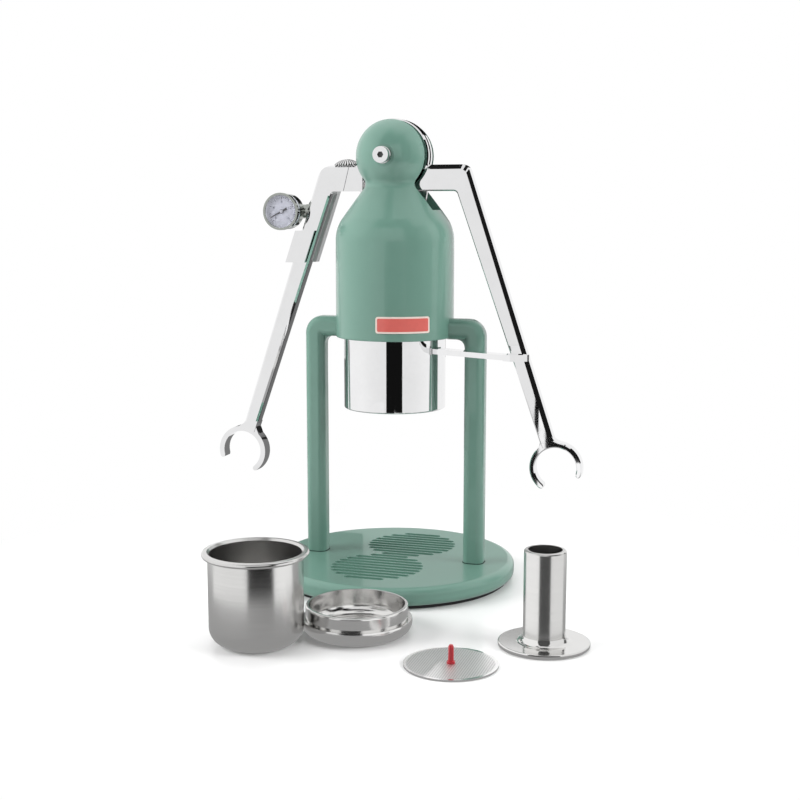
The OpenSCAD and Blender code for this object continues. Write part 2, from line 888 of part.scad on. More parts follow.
// Half space on the claw side of the seam in the shoulder bar, for the +X arm.
module seam_space(gap) {
  translate([seam_x + gap, -far / 2, bar_mid])
    rotate([0, -seam_lean, 0])
      translate([0, 0, -far])
        cube([far, far, 2 * far]);
}

screw_shank_r = 2.6;
knob_dome = 12.4;

module knob_axis() {
  translate([-knob_x, 0, bar_up])
    children();
}

module knob_bore() {
  knob_axis()
    translate([0, 0, -10])
      cylinder(r = screw_shank_r + seat_fit, h = 20);
}

module left_arm_root() {
  color(chrome)
    difference() {
      rotate([0, 0, 180])
        difference() {
          arm_solid(left_elbow_round);
          seam_space(-seam_gap);
        }
      knob_bore();
    }
}

module left_arm() {
  color(chrome)
    difference() {
      rotate([0, 0, 180])
        intersection() {
          arm_solid(left_elbow_round);
          seam_space(0);
        }
      knob_bore();
    }
}

module thumb_screw() {
  color(steel)
    knob_axis()
      difference() {
        union() {
          intersection() {
            cylinder(r = knob_r, h = knob_h);
            translate([0, 0, knob_h - knob_dome])
              sphere(r = knob_dome);
          }
          translate([0, 0, -9.5])
            cylinder(r = screw_shank_r, h = 11);
        }
        for (i = [0:23])
          rotate([0, 0, i * 15])
            translate([knob_r + 0.15, 0, -1])
              cylinder(r = 0.55, h = knob_h + 2, $fn = 4);
      }
}

// A strip along the left forearm between two heights, offset sideways from its centre line.
module arm_strip(inner, outer, z0, z1) {
  x0 = elbow_x + (bar_mid - z0) * fore_tan;
  x1 = elbow_x + (bar_mid - z1) * fore_tan;
  polygon([[-x0 - outer, z0], [-x0 - inner, z0], [-x1 - inner, z1], [-x1 - outer, z1]]);
}

clamp_out = 9.6;
clamp_in = -4.2;
clamp_half_y = arm_half + clamp_lip;
clamp_bore_x = elbow_x + arm_half_x + (clamp_out - arm_half_x) / 2;

module clamp_bores(r, y0, y1) {
  for (dz = [5.5, clamp_h - 5.5])
    translate([-clamp_bore_x - (bar_mid - clamp_top + dz) * fore_tan, 0, clamp_top - dz])
      bar_y(r, y0, y1);
}

module gauge_clamp() {
  color(chrome)
    difference() {
      slab(2 * clamp_half_y)
        arm_strip(clamp_in, clamp_out, clamp_top - clamp_h, clamp_top);
      slab(arm_depth + 2 * seat_fit)
        arm_strip(-far, arm_half_x + seat_fit, clamp_top - clamp_h - 1, clamp_top + 1);
      clamp_bores(1.1 + seat_fit, clamp_half_y - 6, clamp_half_y + 1);
    }
}

module clamp_screws() {
  color(steel)
    clamp_bores(1.1, clamp_half_y - 5.9, clamp_half_y - 0.3);
}

pipe_in = -7.8;
pipe_out = -0.8;
pipe_d = 6;

module pressure_pipe() {
  color(chrome)
    difference() {
      translate([0, arm_half + seat_fit + pipe_d / 2, 0])
        slab(pipe_d)
          arm_strip(pipe_in, pipe_out, clamp_top - clamp_h, bar_bot + 4);
      slab(2 * clamp_half_y + 2 * seat_fit)
        arm_strip(clamp_in - seat_fit, clamp_out, clamp_top - clamp_h - 1, clamp_top + seat_fit);
    }
}

stem_nut_w = 2.4;

module gauge_stem() {
  neck_end = -gauge_x + bezel_r + 1;
  color(steel)
    difference() {
      union() {
        translate([neck_end + seat_fit, 0, gauge_z])
          rotate([0, 90, 0])
            cylinder(r = stem_r - 0.9, h = arm_half_x + 8);
        translate([neck_end + seat_fit, 0, gauge_z])
          rotate([0, 90, 0])
            rotate([0, 0, 30])
              cylinder(r = stem_r, h = stem_nut_w, $fn = 6);
        slab(3)
          polygon([[neck_end + seat_fit, gauge_z], [-arm_face_x + 6, gauge_z],
                   [-elbow_x - 2, bar_mid - 1], [neck_end + 1.4, gauge_z + stem_r]]);
      }
      slab(arm_depth + 2 * seat_fit)
        arm_strip(-far, arm_half_x + seat_fit, claw_z, bar_up);
    }
}

boss_back = 6.2;
boss_r = stem_r + 1.4;
bezel_h = 2.6;
lens_t = 0.9;
lens_sunk = 1.1;
lens_edge = 0.6;
dial_r = bezel_r - bezel_ring + lens_edge;
dial_y = gauge_front - dial_depth;
lens_y = gauge_front - lens_sunk;
case_r = bezel_r - 0.5;
case_front = gauge_front - bezel_h;

module gauge_case() {
  color(chrome)
    difference() {
      translate([-gauge_x, 0, gauge_z])
        difference() {
          union() {
            bar_y(case_r, -case_front + seat_fit, -case_front + case_len);
            translate([0, -case_front + case_len, 0])
              rotate([-90, 0, 0])
                cylinder(r1 = case_r, r2 = boss_r, h = boss_back + case_front - case_len);
            bar_y(boss_r, 0, boss_back + 1);
            rotate([0, 90, 0])
              cylinder(r = stem_r - 0.9, h = bezel_r + 1);
          }
          bar_y(dial_r + 0.4, -gauge_front, -gauge_front + 7);
        }
      slab(3 * arm_depth)
        arm_strip(-far, arm_half_x + seat_fit, claw_z, bar_up);
    }
}

module gauge_bezel() {
  color(chrome)
    translate([-gauge_x, 0, gauge_z])
      difference() {
        bar_y(bezel_r, -gauge_front, -case_front);
        bar_y(bezel_r - bezel_ring, -gauge_front - 1, -gauge_front + 4);
        bar_y(dial_r + seat_fit, -lens_y, -gauge_front + 4);
      }
}

module gauge_dial() {
  color([0.9, 0.9, 0.94])
    translate([-gauge_x, 0, gauge_z])
      difference() {
        bar_y(dial_r, -dial_y, -gauge_front + 7);
        bar_y(0.7 + run_fit, -dial_y - 1, -gauge_front + 8);
      }
}

module gauge_lens() {
  color([0.9, 0.95, 1, 0.4])
    translate([-gauge_x, 0, gauge_z])
      bar_y(dial_r, -lens_y, -lens_y + lens_t);
}

needle_rest = 27;

module gauge_needle() {
  color(black)
    translate([-gauge_x, 0, gauge_z]) {
      slab(0.3, -dial_y - 0.55)
        rotate([0, 0, 180 + needle_rest])
          polygon([[-4.2, -0.75], [-4.2, 0.75], [0, 0.55], [8.8, 0.18], [8.8, -0.18], [0, -0.55]]);
      bar_y(1.4, -dial_y - 0.8, -dial_y - 0.3);
      bar_y(0.7, -dial_y - 0.4, -dial_y + 0.8);
    }
}

// One link hanging from its pin on the +X side.
module link() {
  difference() {
    slab(link_t)
      translate([pin_x, pin_z])
        rotate([0, 0, -90 - link_a]) {
          translate([0, -link_w / 2])
            square([link_len, link_w]);
          circle(r = link_w / 2);
          translate([link_len, 0])
            circle(r = link_w / 2);
        }
    translate([pin_x, 0, pin_z])
      bar_y(pin_r + run_fit, -link_t, link_t);
    translate([foot_x, 0, foot_z])
      bar_y(pin_r + seat_fit, -link_t, link_t);
  }
}

module right_link() {
  color(steel)
    link();
}

module left_link() {
  color(steel)
    mirror([1, 0, 0])
      link();
}

module foot_pin() {
  translate([foot_x, 0, foot_z])
    bar_y(pin_r, -cross_depth / 2 + 0.4, cross_depth / 2 - 0.4);
}

module right_foot_pin() {
  color(steel)
    foot_pin();
}

module left_foot_pin() {
  color(steel)
    mirror([1, 0, 0])
      foot_pin();
}

// Crosshead with a level slot on each side in which the lower link pins slide.
module crosshead() {
  slot_in = foot_x - slot_spare;
  slot_out = foot_x + travel_x + slot_spare;
  high = pin_r + pin_play;
  slot_z0 = foot_z - slot_drop;
  color(steel)
    difference() {
      translate([-cross_half, -cross_depth / 2, cross_bot])
        cube([2 * cross_half, cross_depth, cross_top - cross_bot]);
      for (s = [0, 1])
        mirror([s, 0, 0]) {
          translate([slot_in - link_w / 2 - 1, -link_slot, slot_z0 - link_w / 2 - pin_play])
            cube([cross_half, 2 * link_slot, far]);
          slab(cross_depth + 2)
            union() {
              translate([slot_in, slot_z0 - high])
                square([slot_out - slot_in, 2 * high]);
              for (x = [slot_in, slot_out])
                translate([x, slot_z0])
                  circle(r = high);
            }
        }
      translate([0, 0, cross_bot - 1])
        cylinder(r = rod_r - 1 + seat_fit, h = tenon_h + 1 + seat_fit);
    }
}

module piston_rod() {
  color(chrome) {
    translate([0, 0, piston_z + piston_h])
      cylinder(r = rod_r, h = cross_bot - piston_z - piston_h - seat_fit);
    translate([0, 0, cross_bot - 1])
      cylinder(r = rod_r - 1, h = tenon_h + 1);
    translate([0, 0, rod_bot])
      cylinder(r = rod_r - 2, h = piston_z + piston_h - rod_bot + 1);
  }
}

seal_h = 3.6;
seal_z = piston_z + 4;

module piston_head() {
  color(steel)
    difference() {
      translate([0, 0, piston_z])
        cylinder(r = piston_r, h = piston_h);
      translate([0, 0, seal_z])
        difference() {
          cylinder(r = piston_r + 1, h = seal_h);
          translate([0, 0, -1])
            cylinder(r = piston_r - 2.4, h = seal_h + 2);
        }
      translate([0, 0, piston_z - 1])
        cylinder(r = rod_r - 2 + seat_fit, h = piston_h + 2);
    }
}

module piston_seal() {
  color(black)
    translate([0, 0, seal_z + seat_fit])
      difference() {
        cylinder(r = piston_r + 0.25, h = seal_h - 2 * seat_fit);
        translate([0, 0, -1])
          cylinder(r = piston_r - 2.4 + seat_fit, h = seal_h + 2);
      }
}

module piston_nut() {
  color(steel)
    translate([0, 0, rod_bot + 0.6])
      difference() {
        cylinder(r = 7, h = piston_z - rod_bot - 0.6, $fn = 6);
        translate([0, 0, -1])
          cylinder(r = rod_r - 2 + seat_fit, h = 8);
      }
}

module holder_shell() {
  color(chrome)
    difference() {
      union() {
        rotate_extrude()
          foot_rounded(holder_r, holder_z, holder_ease, holder_top);
        for (i = [0:2])
          rotate([0, 0, -handle_a + i * 120])
            translate([0, 0, lug_z])
              arc_piece(holder_r - 1, holder_lug_r, 2.6, lug_span);
      }
      translate([0, 0, holder_z + 3])
        cylinder(r = holder_bore, h = holder_top - holder_z);
      translate([0, 0, rim_seat_z])
        cylinder(r = basket_rim_r + 0.4, h = holder_top);
      translate([0, 0, holder_z - 1])
        cylinder(r = bore_lip_r, h = holder_top);
      for (s = [-1, 1])
        rotate([0, 0, -handle_a])
          translate([0, s * 2.4, handle_z])
            rotate([0, 90, 0])
              cylinder(r = 1.1 + seat_fit, h = far);
    }
}

handle_in = holder_r - 0.6;
collar_l = 1.6;
collar_up = 0.5;

module holder_handle() {
  color(chrome)
    rotate([0, 0, -handle_a])
      difference() {
        union() {
          translate([handle_in, -handle_w / 2, handle_z - handle_t / 2])
            cube([handle_r - handle_in, handle_w, handle_t]);
          translate([handle_in, -handle_w / 2 - collar_up, handle_z - handle_t / 2 - collar_up])
            cube([collar_l, handle_w + 2 * collar_up, handle_t + 2 * collar_up]);
        }
        cylinder(r = holder_r + seat_fit, h = far);
        for (s = [-1, 1])
          translate([0, s * 2.4, handle_z])
            rotate([0, 90, 0])
              cylinder(r = 1.1 + seat_fit, h = holder_r + 5);
      }
}

module handle_screws() {
  color(steel)
    rotate([0, 0, -handle_a])
      for (s = [-1, 1])
        translate([holder_bore + 0.5, s * 2.4, handle_z])
          rotate([0, 90, 0])
            cylinder(r = 1.1, h = holder_r + 4.4 - holder_bore);
}

cap_over = 0.4;
cap_half = handle_w / 2 + cap_over;

module handle_cap() {
  color(chrome)
    rotate([0, 0, -handle_a])
      translate([handle_r + seat_fit, 0, handle_z - handle_t / 2 - cap_over])
        linear_extrude(height = handle_t + 2 * cap_over)
          polygon([[0, -cap_half], [handle_cap_s, -cap_half], [handle_cap_l, cap_half - 2], [handle_cap_l, cap_half],
                   [0, cap_half]]);
}

strain_rings = floor((basket_in_r - basket_round - 1) / strain_pitch);

// Round pot with a rolled rim whose inner edge is eased.
module basket() {
  roll_x = basket_rim_r - rim_round;
  roll_z = basket_h - rim_round;
  color(steel)
    translate([basket_x, basket_y, 0])
      difference() {
        union() {
          rotate_extrude()
            intersection() {
              foot_rounded(basket_r, 0, basket_round, basket_h - 1);
              square([basket_r + 1, basket_h]);
            }
          rotate_extrude() {
            translate([0, roll_z - rim_round / 2])
              square([roll_x, 1.5 * rim_round]);
            translate([roll_x, roll_z])
              circle(r = rim_round);
          }
        }
        rotate_extrude()
          intersection() {
            foot_rounded(basket_in_r, basket_wall, basket_round - basket_wall, basket_h + 2);
            square([basket_r, basket_h + 1]);
          }
        translate([0, 0, basket_h - rim_round])
          cylinder(r1 = basket_in_r - 0.3, r2 = basket_in_r + rim_round - 0.3, h = rim_round + eps);
        for (k = [1:strain_rings], i = [0:6 * k - 1])
          rotate([0, 0, i * 60 / k])
            translate([k * strain_pitch, 0, -1])
              cylinder(r = strain_r, h = basket_wall + 2, $fn = 24);
      }
}

// Rounded dish with a narrower upright ring above it, open at the top.
module spout_bowl() {
  ring_r = bowl_r - bowl_step;
  ring_in = ring_r - bowl_wall - 0.4;
  lip = 1.2;
  dish_round = dish_h - 2;
  color(steel)
    translate([bowl_x, bowl_y, 0])
      difference() {
        rotate_extrude() {
          intersection() {
            union() {
              square([bowl_r - dish_round, dish_h]);
              translate([bowl_r - dish_round, dish_round])
                circle(r = dish_round);
            }
            square([bowl_r + 1, dish_h]);
          }
          translate([0, dish_h - 1])
            square([ring_r - 0.7, bowl_h - dish_h]);
          translate([0, dish_h + ring_foot])
            square([ring_r, bowl_h - dish_h - ring_foot - lip]);
          translate([0, bowl_h - lip - 1])
            square([ring_r - lip, lip + 1]);
          translate([ring_r - lip, bowl_h - lip])
            circle(r = lip);
        }
        rotate_extrude() {
          intersection() {
            foot_rounded(ring_in, bowl_wall + 1, dish_round - 1, far);
            square([ring_r, far]);
          }
        }
        for (s = [-1, 1])
          translate([s * 6, 0, -1])
            cylinder(r = 2, h = 8);
      }
}

ring_foot = 1.2;

plug_pin_r = 1;

module screen_disc() {
  color(steel)
    translate([screen_x, screen_y, 0])
      difference() {
        cylinder(r = screen_r, h = screen_t);
        translate([0, 0, -1])
          cylinder(r = plug_pin_r + seat_fit, h = 4);
      }
}

module screen_plug() {
  color(red)
    translate([screen_x, screen_y, 0]) {
      cylinder(r = plug_pin_r, h = screen_t + 1);
      translate([0, 0, screen_t])
        cylinder(r = plug_r, h = 1.2);
      translate([0, 0, screen_t + 1])
        cylinder(r = plug_stem_r, h = plug_h - 2);
      translate([0, 0, screen_t + plug_h - 1.8])
        cylinder(r1 = plug_stem_r, r2 = plug_stem_r - 0.5, h = 1.8);
    }
}

module tamper_base() {
  color(steel)
    translate([tamper_x, tamper_y, 0])
      difference() {
        rotate_extrude()
          union() {
            square([tamper_r - 0.8, tamper_t]);
            translate([0, 0.8])
              square([tamper_r, tamper_t - 1.6]);
            for (z = [0.8, tamper_t - 0.8])
              translate([tamper_r - 0.8, z])
                circle(r = 0.8);
            difference() {
              translate([0, tamper_t - 0.5])
                square([tube_r + seat_fit + flare, flare + 0.5]);
              translate([tube_r + seat_fit + flare + 0.4, tamper_t + flare])
                circle(r = flare);
            }
          }
        translate([0, 0, tamper_t - 1])
          cylinder(r = tube_r + seat_fit, h = 10);
      }
}

module tamper_tube() {
  lip = tube_wall / 2;
  tube_top = tamper_h - tamper_t + 1 - lip;
  color(steel)
    translate([tamper_x, tamper_y, tamper_t - 1])
      difference() {
        rotate_extrude() {
          square([tube_r, tube_top]);
          square([tube_r - lip, tube_top + lip]);
          translate([tube_r - lip, tube_top])
            circle(r = lip);
        }
        translate([0, 0, -1])
          cylinder(r = tube_r - tube_wall, h = tamper_h + 2);
      }
}

base_plate();
foot_mat();
base_screws();
leg_left();
leg_right();
body_shell();
guide_bush();
bayonet_ring();
axle_bolt();
axle_washer_front();
axle_washer_rear();
axle_nut();
hub_spacer();
cheek_spacers();
right_arm();
right_hub_bush();
right_link_pin();
left_arm_root();
left_arm();
left_hub_bush();
left_link_pin();
thumb_screw();
gauge_clamp();
clamp_screws();
pressure_pipe();
gauge_stem();
gauge_case();
gauge_bezel();
gauge_dial();
gauge_lens();
gauge_needle();
right_link();
right_foot_pin();
left_link();
left_foot_pin();
crosshead();
piston_rod();
piston_head();
piston_seal();
piston_nut();
holder_shell();
holder_handle();
handle_cap();
handle_screws();
basket();
spout_bowl();
screen_disc();
screen_plug();
tamper_base();
tamper_tube();
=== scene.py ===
"""Looks for the manual espresso maker: finishes for the CAD nodes and the pieces that replace or dress them.

The frame gives every CAD node in metres, Z up, arms along X and the front towards -Y.
"""

import logging
import math
from dataclasses import dataclass, field
from enum import Enum
from functools import cached_property
from typing import Dict, List, Sequence, Tuple, Union

import bmesh
import bpy
import numpy as np
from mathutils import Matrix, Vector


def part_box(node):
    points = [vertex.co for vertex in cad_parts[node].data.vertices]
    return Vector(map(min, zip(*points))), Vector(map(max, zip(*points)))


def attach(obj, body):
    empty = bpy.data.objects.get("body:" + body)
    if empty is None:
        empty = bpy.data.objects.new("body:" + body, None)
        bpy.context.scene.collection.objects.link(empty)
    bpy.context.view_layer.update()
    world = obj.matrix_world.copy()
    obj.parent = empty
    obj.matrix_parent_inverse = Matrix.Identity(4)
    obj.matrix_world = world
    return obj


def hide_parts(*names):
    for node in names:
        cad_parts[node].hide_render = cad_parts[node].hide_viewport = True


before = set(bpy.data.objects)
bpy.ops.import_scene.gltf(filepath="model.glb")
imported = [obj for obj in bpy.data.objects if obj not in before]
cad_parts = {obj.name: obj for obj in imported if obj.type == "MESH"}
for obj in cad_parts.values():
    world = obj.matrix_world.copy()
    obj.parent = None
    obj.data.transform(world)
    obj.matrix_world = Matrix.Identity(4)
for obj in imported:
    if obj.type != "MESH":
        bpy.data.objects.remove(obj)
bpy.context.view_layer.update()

MM = 0.001
SHARP_ANGLE = math.radians(32.0)
BEVEL_ANGLE = math.radians(40.0)
LOG = logging.getLogger("espresso_maker")
Span = Tuple[float, float]
Colour = Tuple[float, float, float]
Point = Tuple[float, float, float]
Faces = Union[np.ndarray, List[List[int]]]
Shell = Tuple[np.ndarray, Faces]
Node = bpy.types.Node
Socket = bpy.types.NodeSocket
Material = bpy.types.Material


class Grain(Enum):
    """How a noise pattern is stretched, so that its lines run one way."""

    RINGS = (1.0, 1.0, 60.0)
    ALONG_X = (1.0, 40.0, 40.0)


class Tree:
    """A short way to add and join shader nodes."""

    def __init__(self, tree: bpy.types.NodeTree) -> None:
        """Keeps the node tree to work in."""
        self.tree = tree
        self.column = 0

    def add(self, kind: str, **values: object) -> Node:
        """Adds a node and sets its properties and inputs.

        Args:
            kind: the node's type name without its ShaderNode prefix, or the full name.
            values: properties of the node, or its inputs by socket name with spaces as underscores.

        Returns:
            The new node.
        """
        name = kind if kind.startswith(("Node", "Shader")) else "ShaderNode" + kind
        node = self.tree.nodes.new(name)
        node.location = (self.column * 180, 0)
        self.column += 1
        for key, value in values.items():
            if hasattr(node, key):
                setattr(node, key, value)
            else:
                self.put(node, key.replace("_", " "), value)
        return node

    def put(self, node: Node, socket: object, value: object) -> None:
        """Sets an input to a constant or joins it to an output.

        Args:
            node: the node whose input is meant.
            socket: the input's name or index.
            value: a number, a colour or an output socket.
        """
        target = node.inputs[socket]
        if isinstance(value, Socket):
            self.tree.links.new(value, target)
        elif isinstance(value, (tuple, list)) and len(value) == 3 and target.type == "RGBA":
            target.default_value = (*value, 1.0)
        else:
            target.default_value = value

    def math(self, operation: str, first: object, second: object = None, clamp: bool = False) -> Socket:
        """One math node.

        Args:
            operation: the operation's name in capitals.
            first: the first number or socket.
            second: the second number or socket, if the operation has one.
            clamp: whether the result is held between 0 and 1.

        Returns:
            The node's output.
        """
        node = self.add("Math", operation=operation, use_clamp=clamp)
        self.put(node, 0, first)
        if second is not None:
            self.put(node, 1, second)
        return node.outputs[0]

    def vector(self, operation: str, first: object, second: object = None) -> Socket:
        """One vector math node.

        Args:
            operation: the operation's name in capitals.
            first: the first vector or socket.
            second: the second vector or socket, if the operation has one.

        Returns:
            The number of a length or dot product, or else the vector.
        """
        node = self.add("VectorMath", operation=operation)
        self.put(node, 0, first)
        if second is not None:
            self.put(node, 1, second)
        return node.outputs["Value" if operation in ("LENGTH", "DOT_PRODUCT") else "Vector"]

    def blend(self, first: object, second: object, share: float) -> Socket:
        """The weighted sum of two numbers.

        Args:
            first: the first socket.
            second: the second socket.
            share: the weight of the first, the second has the rest.

        Returns:
            The sum's output.
        """
        rest = self.math("MULTIPLY", second, 1.0 - share)
        return self.math("ADD", self.math("MULTIPLY", first, share), rest)

    def ramp(self, value: Socket, start: Span, end: Tuple[object, object], soft: bool = False) -> Socket:
        """A number carried from one span to another and held inside it.

        Args:
            value: the number.
            start: where it comes from.
            end: where it goes to, as numbers or sockets.
            soft: whether it eases in and out.

        Returns:
            The result's output.
        """
        node = self.add("MapRange", interpolation_type="SMOOTHSTEP" if soft else "LINEAR", Value=value,
                        From_Min=start[0], From_Max=start[1], To_Min=end[0], To_Max=end[1])
        return node.outputs[0]

    def mix(self, mask: object, low: object, high: object) -> Socket:
        """A colour between two by a mask.

        Args:
            mask: 0 gives low and 1 gives high.
            low: the colour at 0.
            high: the colour at 1.

        Returns:
            The colour output.
        """
        node = self.add("Mix", data_type="RGBA")
        for index, value in ((0, mask), (6, low), (7, high)):
            self.put(node, index, value)
        return node.outputs[2]

    def mix_shader(self, mask: object, low: Node, high: Node) -> Socket:
        """A shader between two by a mask.

        Args:
            mask: 0 gives low and 1 gives high.
            low: the shader node at 0.
            high: the shader node at 1.

        Returns:
            The shader output.
        """
        node = self.add("MixShader")
        for index, value in ((0, mask), (1, low.outputs[0]), (2, high.outputs[0])):
            self.put(node, index, value)
        return node.outputs[0]


class Effects:
    """Shared effects, each one a node group that gives masks, values or normals."""

    def __init__(self) -> None:
        """Starts with no brushed groups made."""
        self.brushes: Dict[Grain, bpy.types.NodeTree] = {}

    def _group(self, name: str, inputs: Dict[str, float], outputs: Sequence[str]) -> Tuple[Tree, Node, Node]:
        """Starts a node group with number inputs and outputs.

        Args:
            name: the group's name.
            inputs: each input's name and default.
            outputs: each output's name.

        Returns:
            The tree, its input node and its output node.
        """
        tree = bpy.data.node_groups.new(name, "ShaderNodeTree")
        for key, value in inputs.items():
            socket = tree.interface.new_socket(key, in_out="INPUT", socket_type="NodeSocketFloat")
            socket.default_value = value
        for key in outputs:
            tree.interface.new_socket(key, in_out="OUTPUT", socket_type="NodeSocketFloat")
        kit = Tree(tree)
        return kit, kit.add("NodeGroupInput"), kit.add("NodeGroupOutput")

    @cached_property
    def mottle(self) -> bpy.types.NodeTree:
        """Soft cloudy variation of two sizes, from 0 to 1.

        Returns:
            The node group.
        """
        kit, source, sink = self._group("mottle", {"Scale": 30.0, "Contrast": 1.0}, ["Mask"])
        place = kit.add("TexCoord").outputs["Object"]
        scale = source.outputs["Scale"]
        large = kit.add("TexNoise", Vector=place, Scale=scale, Detail=3.0, Roughness=0.55)
        finer = kit.math("MULTIPLY", scale, 7.3)
        small = kit.add("TexNoise", Vector=place, Scale=finer, Detail=4.0, Roughness=0.6)
        both = kit.blend(large.outputs[0], small.outputs[0], 0.65)
        centred = kit.math("MULTIPLY", kit.math("SUBTRACT", both, 0.5), source.outputs["Contrast"])
        kit.put(sink, "Mask", kit.math("ADD", centred, 0.5, clamp=True))
        return kit.tree

    @cached_property
    def dust(self) -> bpy.types.NodeTree:
        """A mask of fine dust that settles on faces that look up.

        Returns:
            The node group.
        """
        kit, source, sink = self._group("dust", {"Amount": 0.5, "Scale": 900.0}, ["Mask"])
        up = kit.add("SeparateXYZ", Vector=kit.add("NewGeometry").outputs["Normal"]).outputs["Z"]
        facing = kit.math("POWER", kit.math("MAXIMUM", up, 0.0), 2.0)
        place = kit.add("TexCoord").outputs["Object"]
        specks = kit.add("TexNoise", Vector=place, Scale=source.outputs["Scale"], Detail=2.0)
        clouds = kit.add("TexNoise", Vector=place, Scale=35.0, Detail=3.0)
        grains = kit.ramp(specks.outputs[0], (0.52, 0.72), (0.0, 1.0))
        mask = kit.math("MULTIPLY", kit.math("MULTIPLY", facing, grains), clouds.outputs[0])
        kit.put(sink, "Mask", kit.math("MULTIPLY", mask, source.outputs["Amount"], clamp=True))
        return kit.tree

    @cached_property
    def orange_peel(self) -> bpy.types.NodeTree:
        """The faint ripple of sprayed enamel, as a height.

        Returns:
            The node group.
        """
        kit, source, sink = self._group("orange_peel", {"Scale": 420.0}, ["Height"])
        place = kit.add("TexCoord").outputs["Object"]
        scale = source.outputs["Scale"]
        ripple = kit.add("TexNoise", Vector=place, Scale=scale, Detail=1.0, Roughness=0.3)
        wave = kit.add("TexNoise", Vector=place, Scale=kit.math("MULTIPLY", scale, 0.16), Detail=1.0)
        kit.put(sink, "Height", kit.blend(ripple.outputs[0], wave.outputs[0], 0.4))
        return kit.tree

    def brushed(self, grain: Grain) -> bpy.types.NodeTree:
        """Fine parallel lines, as a height and a mask of how dull each line is.

        Args:
            grain: the direction the lines run in.

        Returns:
            The node group.
        """
        if grain not in self.brushes:
            name = "brushed_" + grain.name.lower()
            kit, source, sink = self._group(name, {"Scale": 60.0}, ["Height", "Dull"])
            place = kit.add("TexCoord").outputs["Object"]
            stretched = kit.add("Mapping", Vector=place, Scale=grain.value).outputs[0]
            scale = source.outputs["Scale"]
            lines = kit.add("TexNoise", Vector=stretched, Scale=scale, Detail=5.0, Roughness=0.7)
            wide = kit.add("TexNoise", Vector=stretched, Scale=kit.math("MULTIPLY", scale, 0.2), Detail=2.0)
            kit.put(sink, "Height", lines.outputs[0])
            kit.put(sink, "Dull", kit.blend(lines.outputs[0], wide.outputs[0], 0.5))
            self.brushes[grain] = kit.tree
        return self.brushes[grain]


EFFECTS = Effects()


def clouds_mask(kit: Tree, scale: float, contrast: float) -> Socket:
    """The shared cloudy mask inside a material.

    Args:
        kit: the material's tree.
        scale: how fine the clouds are.
        contrast: how far they reach from the middle.

    Returns:
        The mask's output.
    """
    group = kit.add("ShaderNodeGroup", node_tree=EFFECTS.mottle, Scale=scale, Contrast=contrast)
    return group.outputs["Mask"]


@dataclass(frozen=True)
class Ripple:
    """How strongly a finish ripples: the scale of its noise, and the bump's strength and depth."""

    scale: float
    strength: float
    depth: float

    def bump(self, kit: Tree, shader: Node) -> None:
        """Gives a shader the rippled normal.

        Args:
            kit: the material's tree.
            shader: the Principled node.
        """
        peel = kit.add("ShaderNodeGroup", node_tree=EFFECTS.orange_peel, Scale=self.scale)
        normal = kit.add("Bump", Height=peel.outputs["Height"], Strength=self.strength, Distance=self.depth)
        kit.put(shader, "Normal", normal.outputs[0])


@dataclass(frozen=True)
class Finish:
    """A finish that can build its own material."""

    name: str

    def start(self) -> Tuple[Material, Tree, Node]:
        """An empty material with a Principled shader.

        Returns:
            The material, its node tree helper and its Principled node.
        """
        material = bpy.data.materials.new(self.name)
        material.use_nodes = True
        material.node_tree.nodes.clear()
        kit = Tree(material.node_tree)
        shader = kit.add("BsdfPrincipled")
        kit.put(kit.add("OutputMaterial"), "Surface", shader.outputs[0])
        return material, kit, shader

    def make(self) -> Material:
        """Builds the material, each finish in its own way."""
        raise NotImplementedError


@dataclass(frozen=True)
class Enamel(Finish):
    """Glossy stove enamel with a faint ripple, cloudiness and dust."""

    name: str = "sage_enamel"
    deep: Colour = (0.124, 0.25, 0.2)
    pale: Colour = (0.143, 0.278, 0.224)
    dust_colour: Colour = (0.55, 0.6, 0.57)
    dust_amount: float = 0.04
    dust_rough: float = 0.4
    cloud_scale: float = 14.0
    cloud_contrast: float = 1.4
    rough: Span = (0.31, 0.39)
    coat: float = 0.7
    coat_rough: float = 0.06
    ripple: Ripple = Ripple(700.0, 0.02, 0.0002)

    def make(self) -> Material:
        """Builds the material.

        Returns:
            The finished material.
        """
        material, kit, shader = self.start()
        clouds = clouds_mask(kit, self.cloud_scale, self.cloud_contrast)
        dust = kit.add("ShaderNodeGroup", node_tree=EFFECTS.dust, Amount=self.dust_amount).outputs["Mask"]
        kit.put(shader, "Base Color", kit.mix(dust, kit.mix(clouds, self.deep, self.pale), self.dust_colour))
        rough = kit.ramp(clouds, (0.0, 1.0), self.rough)
        kit.put(shader, "Roughness", kit.math("ADD", rough, kit.math("MULTIPLY", dust, self.dust_rough)))
        kit.put(shader, "Coat Weight", self.coat)
        kit.put(shader, "Coat Roughness", self.coat_rough)
        self.ripple.bump(kit, shader)
        return material


@dataclass(frozen=True)
class Chrome(Finish):
    """Mirror plating with fingertip smudges and a trace of ripple."""

    name: str = "mirror_chrome"
    tone: Colour = (0.93, 0.93, 0.935)
    dulling: float = 0.94
    smudge_scale: float = 40.0
    smudge_contrast: float = 2.2
    smudge_span: Span = (0.35, 0.9)
    rough: Span = (0.02, 0.07)
    ripple: Ripple = Ripple(160.0, 0.03, 0.0003)

    def make(self) -> Material:
        """Builds the material.

        Returns:
            The finished material.
        """
        material, kit, shader = self.start()
        smudge = clouds_mask(kit, self.smudge_scale, self.smudge_contrast)
        dull = tuple(self.dulling * c for c in self.tone)
        kit.put(shader, "Base Color", kit.mix(smudge, self.tone, dull))
        kit.put(shader, "Metallic", 1.0)
        kit.put(shader, "Roughness", kit.ramp(smudge, self.smudge_span, self.rough))
        self.ripple.bump(kit, shader)
        return material


